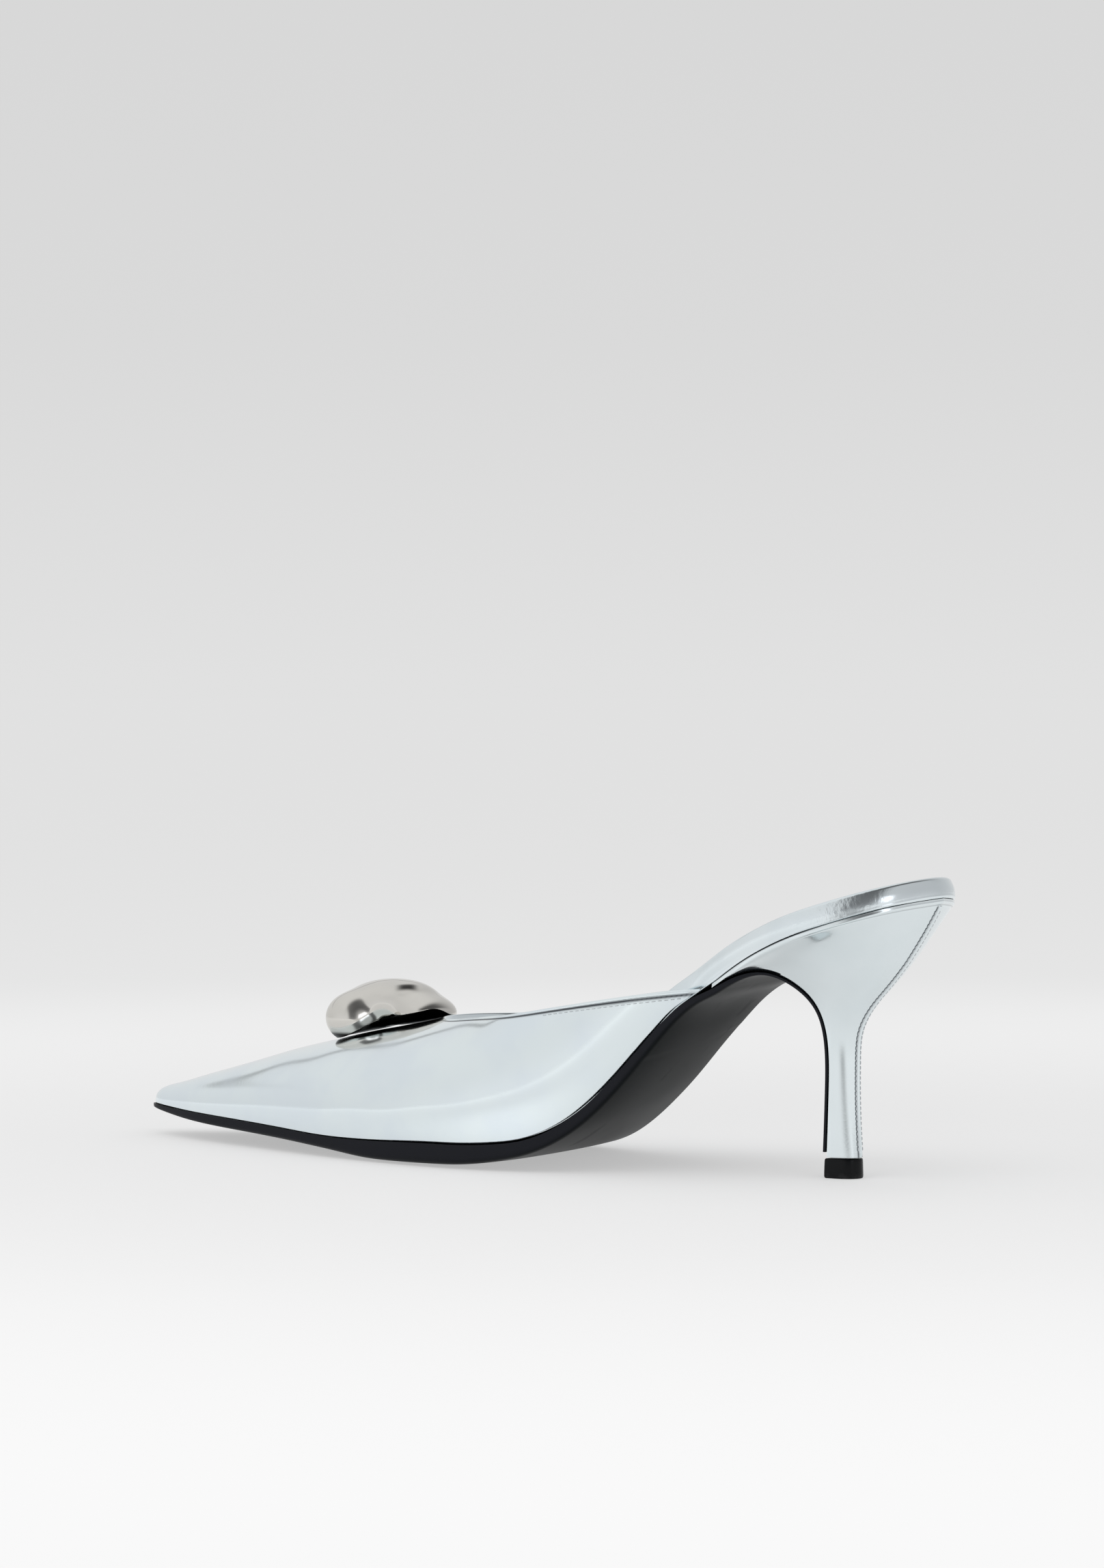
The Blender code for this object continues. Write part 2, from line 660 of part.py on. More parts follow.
def build_sock(collection):
    """Thin lining on the footbed, following its top."""
    rings = []
    for at in bed_stations()[1:-3]:
        x = place(at)
        bed = float(behind_rim(at, SEAT_RIM + SOCK_THICKNESS + CLEARANCE))
        slope = float(bottom_slope(x))
        normal = np.array([-math.sin(slope), 0.0, math.cos(slope)])
        low, high = [], []
        for share in (-1.0, -0.5, 0.0, 0.5, 1.0):
            side = -1 if share < 0 else 1
            half = (float(board_half(at, side)) * 0.972 - SOCK_INSET) * bed
            half = max(half, 0.3 * SOCK_INSET)
            foot = over_bottom(x, share * half, CLEARANCE) + normal * (bed_height(at) - SOCK_THICKNESS)
            low.append(foot)
            high.append(foot + normal * SOCK_THICKNESS)
        rings.append(low + high[::-1])
    return finish(loft("sock", rings, collection), (0.62, 0.60, 0.57), 0.55, 0.0)


def heel_outline(share, blend):
    """Half width of a heel ring over its front edge's, share 0 at the breast and 1 at the back."""
    front = station(heel_front[0])
    at = front + (1.0 - 0.002 - front) * share
    seat = 0.5 * (seat_half(at, -1) + seat_half(at, 1)) / (0.5 * (seat_half(front, -1) + seat_half(front, 1)))
    seat = seat * (1.0 - share**40)
    stem = (1.0 + 0.08 * share) * math.sqrt(max(1.0 - share**2.1, 0.0))
    return float(seat) * (1.0 - blend) + stem * blend


def heel_ring(front, front_z, half, back, back_z, blend, sag):
    """Ring of the heel, from its outer front corner round the back to the inner one."""
    top_front = np.array([heel_front[0], bottom_z(heel_front[0], 0.0)])
    top_back = np.array([BACK_X, bottom_z(BACK_X, 0.0)])
    ring = []
    for k in range(2 * HEEL_ARC + 1):
        turn = math.pi * k / (2 * HEEL_ARC)
        share = math.sin(turn)
        side = -1 if k < HEEL_ARC else 1
        x = front + (back - front) * share
        y = side * half * heel_outline(share, blend)
        chord = front_z + (back_z - front_z) * share
        seat_x = top_front[0] + (top_back[0] - top_front[0]) * share
        curve = float(bottom_z(seat_x, 0.0)) - (top_front[1] + (top_back[1] - top_front[1]) * share)
        across = float(bottom_z(seat_x, y) - bottom_z(seat_x, 0.0))
        near_front = (1.0 - share) ** 2
        lift = near_front * breast_twist(front) * y + (1.0 - near_front) * sag * across
        ring.append(np.array([x, y, chord + sag * curve + lift]))
    return ring


def build_heel(collection):
    """Covered heel: seat, forward wings, thin column. Its breast lies behind the sole's flap."""
    knots = np.arange(len(HEEL), dtype=float)
    names = ("back", "back_rise", "column", "sag")
    curves = [spline(knots, column(HEEL_COLUMNS, HEEL, name)) for name in names]
    run, (line_x, line_z, line_half) = flap_line()
    along = spline(knots, run[-len(HEEL):])
    front = heel_front[0]
    top = float(bottom_z(front, 0.0))
    rim = BACK_X - 0.002 * SHOE_LENGTH
    rings = [heel_ring(front, top, heel_half[0], rim, float(bottom_z(rim, 0.0)), 0.0, 1.0)]
    for point in rings[0]:
        point[2] = bottom_z(point[0], point[1])
    for k in np.linspace(0.0, len(HEEL) - 1.0, 27):
        s = float(along(k))
        step = 0.1 * MM
        tangent = np.array([line_x(s + step) - line_x(s - step), line_z(s + step) - line_z(s - step)])
        tangent = tangent / np.linalg.norm(tangent) * CLEARANCE * 1.1
        back, back_rise, blend, sag = [float(curve(k)) for curve in curves]
        rings.append(heel_ring(float(line_x(s)) - tangent[1], float(line_z(s)) + tangent[0],
                               float(line_half(s)) - SOLE_LIP, back * SHOE_LENGTH,
                               back_rise * HEEL_HEIGHT, min(max(blend, 0.0), 1.0), max(sag, 0.0)))
    for point in rings[-1]:
        point[2] = CAP_HEIGHT + CLEARANCE
    return finish(loft("heel", rings, collection), (0.80, 0.83, 0.85), 0.20, 1.0)


def cap_ring(scale, z):
    """Outline of the cap: straight in front, round behind."""
    ring = []
    for k in range(25):
        turn = math.pi * k / 24
        share = math.sin(turn)
        side = -1 if k < 12 else 1
        x = (-0.5 + share) * CAP_LENGTH * scale
        y = side * 0.5 * CAP_WIDTH * scale * math.sqrt(max(1.0 - share**2.8, 0.0)) * (1.0 + 0.06 * share)
        ring.append(np.array([x, y, z]))
    return ring


def build_cap(collection):
    """Hard top piece of the heel, a little wider at the floor, with softened edges."""
    rings = [cap_ring(0.93, 0.0), cap_ring(0.985, 0.05 * CAP_HEIGHT), cap_ring(1.0, 0.15 * CAP_HEIGHT),
             cap_ring(0.975, 0.94 * CAP_HEIGHT), cap_ring(0.95, CAP_HEIGHT)]
    return finish(loft("heel_cap", rings, collection), (0.010, 0.010, 0.011), 0.22, 0.0)


def crest_angle(at, y):
    """Angle of the section's point at a given y, by halving."""
    low, high = 0.0, math.pi
    for _ in range(40):
        middle = 0.5 * (low + high)
        if float(section(at, middle)[1]) < y:
            low = middle
        else:
            high = middle
    return 0.5 * (low + high)


def vamp_z(x, y):
    """Height of the upper's outer face over a point of the plan."""
    at = float(station(x))
    return float(section(at, crest_angle(at, y))[2])


def fullness(spot):
    """Over 0 inside the pebble and under 0 outside it.

    Sum of exp(k (1 - d^2)) over the swellings, less the sum of depth exp(1 - r^2) over the dents,
    less 1, where d is the distance in half sizes and r in reaches.
    """
    scale = np.array([ORNAMENT_LENGTH, ORNAMENT_WIDTH, ORNAMENT_HEIGHT])
    total = -1.0
    for along, across, over, long, wide, tall, turn in SWELLS:
        away = spot - np.array([along, across, over]) * scale
        turn = math.radians(turn)
        x = away[0] * math.cos(turn) + away[1] * math.sin(turn)
        y = away[1] * math.cos(turn) - away[0] * math.sin(turn)
        size = np.array([x, y, away[2]]) / (np.array([long, wide, tall]) * scale)
        total += math.exp(ORNAMENT_FIRM * (1.0 - float(size @ size)))
    for along, across, over, reach, depth in DENTS:
        away = (spot - np.array([along, across, over]) * scale) / (reach * ORNAMENT_LENGTH)
        total -= depth * math.exp(1.0 - float(away @ away))
    return total


def pebble_point(theta, phi):
    """Point of the pebble's skin about its own middle, found by halving along a direction."""
    toward = np.array([math.sin(theta) * math.cos(phi), 0.8 * math.sin(theta) * math.sin(phi),
                       0.45 * math.cos(theta)])
    low, high = 0.0, 1.25 * ORNAMENT_LENGTH
    for _ in range(34):
        middle = 0.5 * (low + high)
        if fullness(toward * middle) > 0.0:
            low = middle
        else:
            high = middle
    return toward * low


def build_ornament(collection):
    """Cast metal pebble with soft lobes. Its underside lies on the vamp, and lifts off at its near right."""
    middle_x = place(ORNAMENT_AT)
    middle_z = vamp_z(middle_x, 0.0) + ORNAMENT_LIFT * ORNAMENT_HEIGHT
    reach = 0.22 * ORNAMENT_LENGTH
    pitch = math.atan2(vamp_z(middle_x + reach, 0.0) - vamp_z(middle_x - reach, 0.0), 2.0 * reach)
    pitch = pitch - ORNAMENT_SLOPE
    rings = []
    for theta in np.linspace(0.0, math.pi, 15):
        ring = []
        for phi in np.linspace(0.0, 2.0 * math.pi, 28, endpoint=False):
            local = pebble_point(theta, phi)
            x = middle_x + local[0] * math.cos(pitch) - local[2] * math.sin(pitch)
            z = middle_z + local[0] * math.sin(pitch) + local[2] * math.cos(pitch)
            lift = float(ease(-0.30, 0.08, local[0] / ORNAMENT_LENGTH))
            lift *= float(ease(-0.12, 0.28, -local[1] / ORNAMENT_WIDTH))
            floor = vamp_z(x, float(local[1])) + 1.3 * CLEARANCE + lift * ORNAMENT_HOLLOW * ORNAMENT_HEIGHT
            ring.append(np.array([x, local[1], max(z, floor)]))
        rings.append(ring)
    return finish(loft("ornament", rings, collection), (0.62, 0.61, 0.58), 0.06, 1.0, 60.0)


def clear_scene():
    """Take away what the scene holds."""
    for item in list(bpy.data.objects):
        bpy.data.objects.remove(item, do_unlink=True)


def main():
    clear_scene()
    collection = bpy.data.collections.new("kitten_heel_mule")
    bpy.context.scene.collection.children.link(collection)
    build_upper(collection)
    build_footbed(collection)
    build_sock(collection)
    build_outsole(collection)
    build_heel(collection)
    build_cap(collection)
    build_ornament(collection)


main()
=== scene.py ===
# %% [markdown]
# # A kitten heel mule in mirror leather
#
# The shoe is one last with things laid on it: a thin black sole, a covered board, a low heel, and a
# vamp of foil leather with a polished metal pebble. The model of the solids is loaded first and is
# never moved. Each dressed piece is then worked out from the same tables, only with far more points,
# so it lies exactly where its solid lies and can take a rolled edge, a seam or a stitch.

# %% Load the frame
import math

import bmesh
import bpy
import numpy as np
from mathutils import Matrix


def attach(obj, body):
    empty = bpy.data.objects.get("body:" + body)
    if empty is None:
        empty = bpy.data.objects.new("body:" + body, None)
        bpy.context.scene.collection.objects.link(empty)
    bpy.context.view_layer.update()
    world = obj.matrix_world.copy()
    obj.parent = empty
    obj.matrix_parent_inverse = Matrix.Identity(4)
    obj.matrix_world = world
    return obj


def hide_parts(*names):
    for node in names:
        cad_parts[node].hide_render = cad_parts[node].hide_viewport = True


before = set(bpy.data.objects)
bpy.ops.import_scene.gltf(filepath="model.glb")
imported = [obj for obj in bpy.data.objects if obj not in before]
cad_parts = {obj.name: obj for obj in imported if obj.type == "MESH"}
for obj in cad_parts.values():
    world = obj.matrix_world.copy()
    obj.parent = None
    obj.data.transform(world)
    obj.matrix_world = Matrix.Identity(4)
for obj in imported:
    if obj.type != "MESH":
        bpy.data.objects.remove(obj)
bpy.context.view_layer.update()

MM = 0.001


def linked(name, data):
    """A new object of the scene that holds the data."""
    item = bpy.data.objects.new(name, data)
    bpy.context.scene.collection.objects.link(item)
    return item

# %% [markdown]
# ## The camera
#
# The picture was taken from low down, from the outer side and a little from behind the heel, with a
# long lens that keeps the sole's curve true. The place and the turn were worked back from the marks
# where the shoe touches the floor.

# %% Camera
camera_data = bpy.data.cameras.new("camera")
camera_data.lens, camera_data.sensor_width = 111.1, 36.0
camera = linked("camera", camera_data)
camera.location = (0.6351, -1.0780, 0.1291)
camera.rotation_euler = (math.radians(88.75), 0.0, math.radians(34.0))
bpy.context.scene.camera = camera
print("camera", tuple(round(c, 4) for c in camera.location), "lens", camera_data.lens)

# %% [markdown]
# ## Sizes and tables of the last
#
# A shoemaker starts from the last and its stations. The tables give shares of a few named sizes at
# stations from the toe tip to the back of the seat. Smooth curves run through them.

# %% Named sizes
SHOE_LENGTH = 256.3 * MM
BALL_WIDTH = 76.5 * MM
HEEL_HEIGHT = 73.2 * MM
INSTEP_HEIGHT = 44.5 * MM
TOPLINE_HEIGHT = 48.4 * MM
WALL = 1.6 * MM
TAIL_WALL = 0.9 * MM
CLEARANCE = 0.3 * MM
SOLE_THICKNESS = 5.4 * MM
FLAP_THICKNESS = 0.8 * MM
SOLE_LIP = 0.4 * MM
BOARD_THICKNESS = 2.6 * MM
BAND_THICKNESS = 5.5 * MM
SEAT_WIDTH = 54.6 * MM
CAP_HEIGHT = 5.2 * MM
CAP_LENGTH = 8.6 * MM
CAP_WIDTH = 8.8 * MM
COLUMN_WIDTH = 8.8 * MM
TOE_ROUND = 8.0 * MM
NOSE_ROUND = 2.5 * MM
SEAT_ROUND = 16.0 * MM
THROAT_AT, TAIL_AT = 0.405, 0.770
WEDGE_AT, WEDGE_RISE = 0.7385, 2.05
TIP_X = -0.8872 * SHOE_LENGTH
BACK_X = TIP_X + SHOE_LENGTH
print("toe tip to seat, mm:", round(TIP_X / MM, 1), round(BACK_X / MM, 1))

# %% Tables
# at, rise of the bottom over the floor, slope across, rise of the edges, in ten-thousandths
BOTTOM = np.array((
    (0, 1161, 0, 200), (750, 1066, 0, 600), (1680, 963, 0, 1000), (2570, 820, 0, 1400),
    (3390, 676, 0, 1600), (4160, 690, 0, 1700), (4750, 742, 0, 1600), (5130, 830, 80, 1200),
    (5560, 1120, 400, 800), (5830, 1469, 800, 600), (6100, 1981, 1200, 500), (6340, 2570, 1450, 500),
    (6570, 3279, 1550, 500), (6800, 4085, 1500, 500), (7000, 4809, 1300, 500), (7230, 5642, 1020, 500),
    (7360, 6066, 880, 500), (7540, 6503, 750, 400), (7700, 6845, 660, 400), (7970, 7377, 480, 300),
    (8200, 7787, 300, 200), (8530, 8279, 100, 100), (8860, 8716, 0, 0), (9130, 9044, 0, 0),
    (9375, 9331, 0, 0), (9710, 9700, 0, 0), (10000, 10000, 0, 0))) / 10000
# at, outer half, inner half, crest, swell of the sides, fullness of the shoulders, in thousandths
LAST = np.array((
    (0, 82, 88, 104, 25, 100), (36, 116, 133, 143, 25, 100), (75, 165, 196, 209, 28, 90),
    (125, 225, 266, 294, 30, 80), (170, 274, 326, 373, 34, 70), (215, 321, 379, 454, 38, 60),
    (260, 367, 423, 526, 42, 50), (300, 405, 455, 591, 46, 40), (340, 438, 476, 644, 50, 30),
    (415, 490, 486, 732, 54, 20), (475, 511, 464, 822, 56, 0), (515, 514, 434, 890, 60, 0),
    (555, 501, 398, 972, 66, 0), (610, 457, 351, 1000, 76, 0), (655, 401, 320, 965, 86, 0),
    (700, 353, 300, 875, 96, 0), (735, 324, 291, 755, 104, 0), (772, 305, 289, 660, 96, 0))) / 1000
# at, height of the collar's edge on the outer and the inner side, in thousandths
COLLAR = np.array((
    (440, 772, 770), (475, 790, 784), (513, 813, 804), (556, 840, 830), (610, 888, 884), (657, 930, 938),
    (700, 965, 985), (736, 988, 1020), (772, 1006, 1045))) / 1000
# at, thickness of the sole, in thousandths
SOLE = np.array((
    (0, 170), (36, 310), (75, 420), (125, 500), (168, 530), (257, 570), (300, 610), (339, 710), (378, 880),
    (416, 970), (475, 1020), (513, 1000), (556, 930), (610, 760), (680, 600), (754, 460), (790, 360))) / 1000
# at, outer and inner half of the footbed behind the vamp, in thousandths
SEAT = np.array((
    (700, 455, 378), (736, 410, 378), (770, 402, 388), (797, 440, 428), (830, 484, 476), (870, 526, 522),
    (910, 536, 534), (945, 520, 520), (975, 498, 500), (1000, 474, 474))) / 1000
# at, share of the way from the board's thickness to the band's, in thousandths
BAND = np.array((
    (0, 0), (500, 0), (580, 120), (640, 450), (700, 850), (740, 970),
    (800, 1000), (900, 1000), (1000, 960))) / 1000
# breast, its rise, half width there, back seam, its rise, likeness to the column, sag of the seat,
# in ten-thousandths
HEEL = np.array((
    (-1070, 6885, 25000, 1098, 9845, 0, 10000), (-830, 7250, 24000, 1077, 9690, 500, 9000),
    (-600, 7377, 20300, 1019, 9340, 1500, 7000), (-428, 7158, 16800, 884, 8550, 3200, 4500),
    (-312, 6830, 13900, 695, 7650, 5200, 2000), (-223, 6434, 11200, 504, 6870, 7200, 800),
    (-161, 5956, 8900, 334, 6230, 8800, 0), (-130, 5396, 7100, 208, 5600, 9700, 0),
    (-118, 4781, 6000, 143, 4930, 10000, 0), (-116, 3962, 5400, 130, 4040, 10000, 0),
    (-126, 3005, 5100, 130, 3005, 10000, 0), (-140, 1913, 4900, 141, 1913, 10000, 0),
    (-153, 751, 4900, 163, 751, 10000, 0))) / 10000
print("stations in the tables:", len(BOTTOM), len(LAST), len(COLLAR), len(SOLE), len(SEAT), len(HEEL))


# %% Smooth curves through a table
def spline(knots, values):
    """Natural cubic spline: the second slopes solve one linear system, and past the ends it is straight."""
    count = len(knots)
    step = np.diff(knots)
    rise = np.diff(values) / step
    system = np.eye(count)
    inner = np.arange(1, count - 1)
    system[inner, inner - 1] = step[:-1]
    system[inner, inner] = 2.0 * (step[:-1] + step[1:])
    system[inner, inner + 1] = step[1:]
    bend = np.linalg.solve(system, np.concatenate([[0.0], 6.0 * np.diff(rise), [0.0]]))

    def at(where):
        where = np.asarray(where, float)
        inside = np.clip(where, knots[0], knots[-1])
        k = np.clip(np.searchsorted(knots, inside) - 1, 0, count - 2)
        left, rest, width = inside - knots[k], knots[k + 1] - inside, step[k]
        value = (bend[k] * rest**3 + bend[k + 1] * left**3) / (6.0 * width)
        value = value + (values[k] / width - bend[k] * width / 6.0) * rest
        value = value + (values[k + 1] / width - bend[k + 1] * width / 6.0) * left
        first = rise[0] - step[0] * bend[1] / 6.0
        last = rise[-1] + step[-1] * bend[-2] / 6.0
        return value + np.where(where < knots[0], first, last) * (where - inside)

    return at


def curves_of(table):
    """One smooth curve of the first column for each other column."""
    return [spline(table[:, 0], table[:, k]) for k in range(1, table.shape[1])]


def ease(low, high, value):
    """0 below low, 1 above high, t^3 (6 t^2 - 15 t + 10) between."""
    t = np.clip((np.asarray(value, float) - low) / (high - low), 0.0, 1.0)
    return t * t * t * (t * (6.0 * t - 15.0) + 10.0)


bottom_rise, bottom_twist, bottom_cup = curves_of(BOTTOM)
last_near, last_far, last_crest, last_swell, last_full = curves_of(LAST)
last_half = {-1: last_near, 1: last_far}
seat_share = dict(zip((-1, 1), curves_of(SEAT)))
sole_thick, = curves_of(SOLE)
band_share, = curves_of(BAND)
print("bottom at the ball, mm:", round(float(bottom_rise(0.4)) * HEEL_HEIGHT / MM, 2))


# %% The last as formulas
def xyz(*parts):
    """Points from their coordinates, which may be single numbers or grids."""
    return np.stack(np.broadcast_arrays(*parts), axis=-1)


def bell(value, middle, width, power=2):
    """exp(-|(value - middle) / width|^power)."""
    return np.exp(-np.abs((value - middle) / width) ** power)


def halved(low, high, short, rounds=40):
    """Where short turns false between low and high, found by halving the range."""
    for _ in range(rounds):
        middle = 0.5 * (low + high)
        under = short(middle)
        low, high = np.where(under, middle, low), np.where(under, high, middle)
    return low
def place(at):
    """x of a station."""
    return TIP_X + at * SHOE_LENGTH


def station(x):
    """Station of an x."""
    return (x - TIP_X) / SHOE_LENGTH


def rounding(distance, radius):
    """sqrt(1 - exp(-distance / radius)): 0 at the tip, soon 1."""
    return np.sqrt(1.0 - np.exp(-np.maximum(distance, 0.0) / radius))


def bottom_z(x, y):
    """B(x, y) = rise + twist y + cup (2 y / width)^2."""
    at = station(x)
    across = 2.0 * y / BALL_WIDTH
    return bottom_rise(at) * HEEL_HEIGHT + bottom_twist(at) * y + bottom_cup(at) * SOLE_THICKNESS * across**2


def bottom_slope(x):
    """Angle of B's centre line."""
    step = 0.2 * MM
    return np.arctan2(bottom_z(x + step, 0.0) - bottom_z(x - step, 0.0), 2.0 * step)


def over_bottom(x, y, height):
    """Point at a height over B, square to its centre line."""
    slope = bottom_slope(x)
    return xyz(x - np.sin(slope) * height, y, bottom_z(x, y) + np.cos(slope) * height)


def wedge(x):
    """Drop of the sole's top that makes room for the heel's front edge: k times distance squared."""
    return WEDGE_RISE * np.maximum(x - place(WEDGE_AT), 0.0) ** 2 / SHOE_LENGTH


def edge_half(at, side):
    """Half width of the upper at the sole's edge; side is -1 outer, +1 inner."""
    return last_half[side](at) * BALL_WIDTH * rounding(at * SHOE_LENGTH, TOE_ROUND)


def seat_half(at, side):
    """Half width of the footbed behind the upper."""
    return seat_share[side](at) * SEAT_WIDTH * rounding((1.0 - at) * SHOE_LENGTH, SEAT_ROUND)


def board_half(at, side):
    """Half width of the footbed: inside the upper in front, the seat's outline behind."""
    outline = last_half[side](at) * BALL_WIDTH * rounding(at * SHOE_LENGTH - 2.0 * WALL, TOE_ROUND)
    inside = np.maximum(outline - WALL - 1.4 * CLEARANCE, 0.0)
    blend = ease(0.715, 0.785, at)
    return inside * (1.0 - blend) + seat_half(at, side) * blend


def section(at, angle):
    """Outer face: y = -w cos(a) (1 + q sin(a)^2), z = c + h sin(a), with w, c, h blended across."""
    x = place(at)
    lean = 1.0 / (1.0 + last_swell(at))
    below = np.sqrt(1.0 - lean**2)
    top = bottom_z(x, 0.0) + CLEARANCE + last_crest(at) * INSTEP_HEIGHT * rounding(at * SHOE_LENGTH, NOSE_ROUND)
    share = 0.5 * (1.0 - np.cos(angle))
    sides = []
    for side in (-1, 1):
        half = edge_half(at, side)
        foot = bottom_z(x, side * half) + 1.2 * CLEARANCE / np.cos(bottom_slope(x)) - wedge(x)
        tall = (top - foot) / (1.0 + below)
        sides.append((half / lean, foot + below * tall, tall))
    width, middle, tall = [near * (1.0 - share) + far * share for near, far in zip(*sides)]
    y = -width * np.cos(angle) * (1.0 + last_full(at) * np.sin(angle) ** 2)
    return xyz(x, y, middle + tall * np.sin(angle))


def edge_angle(at):
    """Angle of the sole's edge in the section."""
    return -np.arccos(1.0 / (1.0 + last_swell(at)))


crest_z = float(section(np.array(THROAT_AT), np.array(math.pi / 2.0))[2])
collar_height = {
    side: spline(np.concatenate([[THROAT_AT], COLLAR[:, 0]]),
                 np.concatenate([[crest_z], COLLAR[:, column] * TOPLINE_HEIGHT]))
    for side, column in ((-1, 1), (1, 2))}


def collar_angle(at, side):
    """Angle at which the collar's edge cuts the section; where it lies over the section, the crest."""
    height, crest = collar_height[side](at), np.full(at.shape, math.pi / 2.0)

    def under(angle):
        return section(at, angle if side < 0 else math.pi - angle)[..., 2] < height

    angle = np.where((at <= THROAT_AT) | under(crest), crest, halved(edge_angle(at), crest, under))
    return angle if side < 0 else math.pi - angle


print("throat height, mm:", round(crest_z / MM, 1))


# %% [markdown]
# ## From arrays to meshes
#
# A piece is one or more grids of points. Four neighbours make a face. Points that fall together, at a
# pole or where two grids meet, are merged. A closed shell then has its faces turned outward.

# %% Grids to meshes
MERGE, SLIVER = 0.004 * MM, 0.001 * MM


def grid_faces(rows, columns, around=False, flip=False, first=0):
    """Quads between neighbours of a grid; around closes the columns into a ring."""
    index = first + np.arange(rows * columns).reshape(rows, columns)
    if around:
        index = np.concatenate([index, index[:, :1]], axis=1)
    quads = np.stack([index[:-1, :-1], index[1:, :-1], index[1:, 1:], index[:-1, 1:]], axis=-1).reshape(-1, 4)
    return quads[:, ::-1] if flip else quads


def make_piece(name, grids, materials, values=None, sharp=None, stands_for=()):
    """Object from grids given as (points, around, flip) or with the place of their material in materials.
    values holds one number a point, named."""
    points, faces, kinds, first = [], [], [], 0
    for grid, around, flip, *kind in grids:
        points.append(grid.reshape(-1, 3))
        faces.append(grid_faces(*grid.shape[:2], around, flip, first))
        kinds.append(np.full(len(faces[-1]), kind[0] if kind else 0, np.int32))
        first += len(points[-1])
    mesh = bpy.data.meshes.new(name)
    mesh.from_pydata(np.concatenate(points).tolist(), [], np.concatenate(faces).tolist())
    for material in materials:
        mesh.materials.append(material)
    mesh.polygons.foreach_set("material_index", np.concatenate(kinds))
    for key, numbers in (values or {}).items():
        layer = mesh.attributes.new(key, "FLOAT", "POINT")
        layer.data.foreach_set("value", np.asarray(numbers, np.float32).ravel())
    work = bmesh.new()
    work.from_mesh(mesh)
    bmesh.ops.remove_doubles(work, verts=work.verts, dist=MERGE)
    bmesh.ops.dissolve_degenerate(work, edges=work.edges, dist=SLIVER)
    bmesh.ops.recalc_face_normals(work, faces=work.faces)
    work.to_mesh(mesh)
    work.free()
    mesh.shade_smooth()
    if sharp:
        mesh.set_sharp_from_angle(angle=math.radians(sharp))
    piece = linked(name, mesh)
    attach(piece, "root")
    if stands_for:
        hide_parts(*stands_for)
    print(name, "faces:", len(mesh.polygons))


def unit(vectors):
    """Vectors of length one."""
    return vectors / np.maximum(np.linalg.norm(vectors, axis=-1, keepdims=True), 1e-12)


def grid_normals(points):
    """Step along the rows crossed with step along the columns."""
    return unit(np.cross(np.gradient(points, axis=0), np.gradient(points, axis=1)))


def run_of(path):
    """Distance of each point of a path from its start."""
    return np.concatenate([[0.0], np.cumsum(np.linalg.norm(np.diff(path, axis=0), axis=1))])


def carried(where, run, values):
    """Values known at the distances run, read off at the distances where."""
    return np.stack([np.interp(where, run, column) for column in values.T], axis=-1)


def along(path, steps):
    """Points of a path at given distances from its start."""
    return carried(steps, run_of(path), path)


# %% [markdown]
# ## Shader maths as plain expressions
#
# A material is a tree of nodes. One small class wraps a socket, so a sum or a product of sockets adds
# its Math node. Another wraps the tree: one method makes any node from its type, its settings and its
# inputs, and short ones name the nodes that are used most.

# %% Sockets that add and multiply
class Wire:
    """A socket in a tree of nodes."""

    def __init__(self, tree, socket):
        self.tree, self.socket = tree, socket

    def maths(self, operation, first, second):
        return self.tree.node("ShaderNodeMath", {"operation": operation}, {0: first, 1: second})

    def __add__(self, other):
        return self.maths("ADD", self, other)

    def __sub__(self, other):
        return self.maths("SUBTRACT", self, other)

    def __rsub__(self, other):
        return self.maths("SUBTRACT", other, self)

    def __mul__(self, other):
        return self.maths("MULTIPLY", self, other)

    def __truediv__(self, other):
        return self.maths("DIVIDE", self, other)

    def __pow__(self, other):
        return self.maths("POWER", self, other)

    def __rpow__(self, other):
        return self.maths("POWER", other, self)

    __radd__ = __add__
    __rmul__ = __mul__


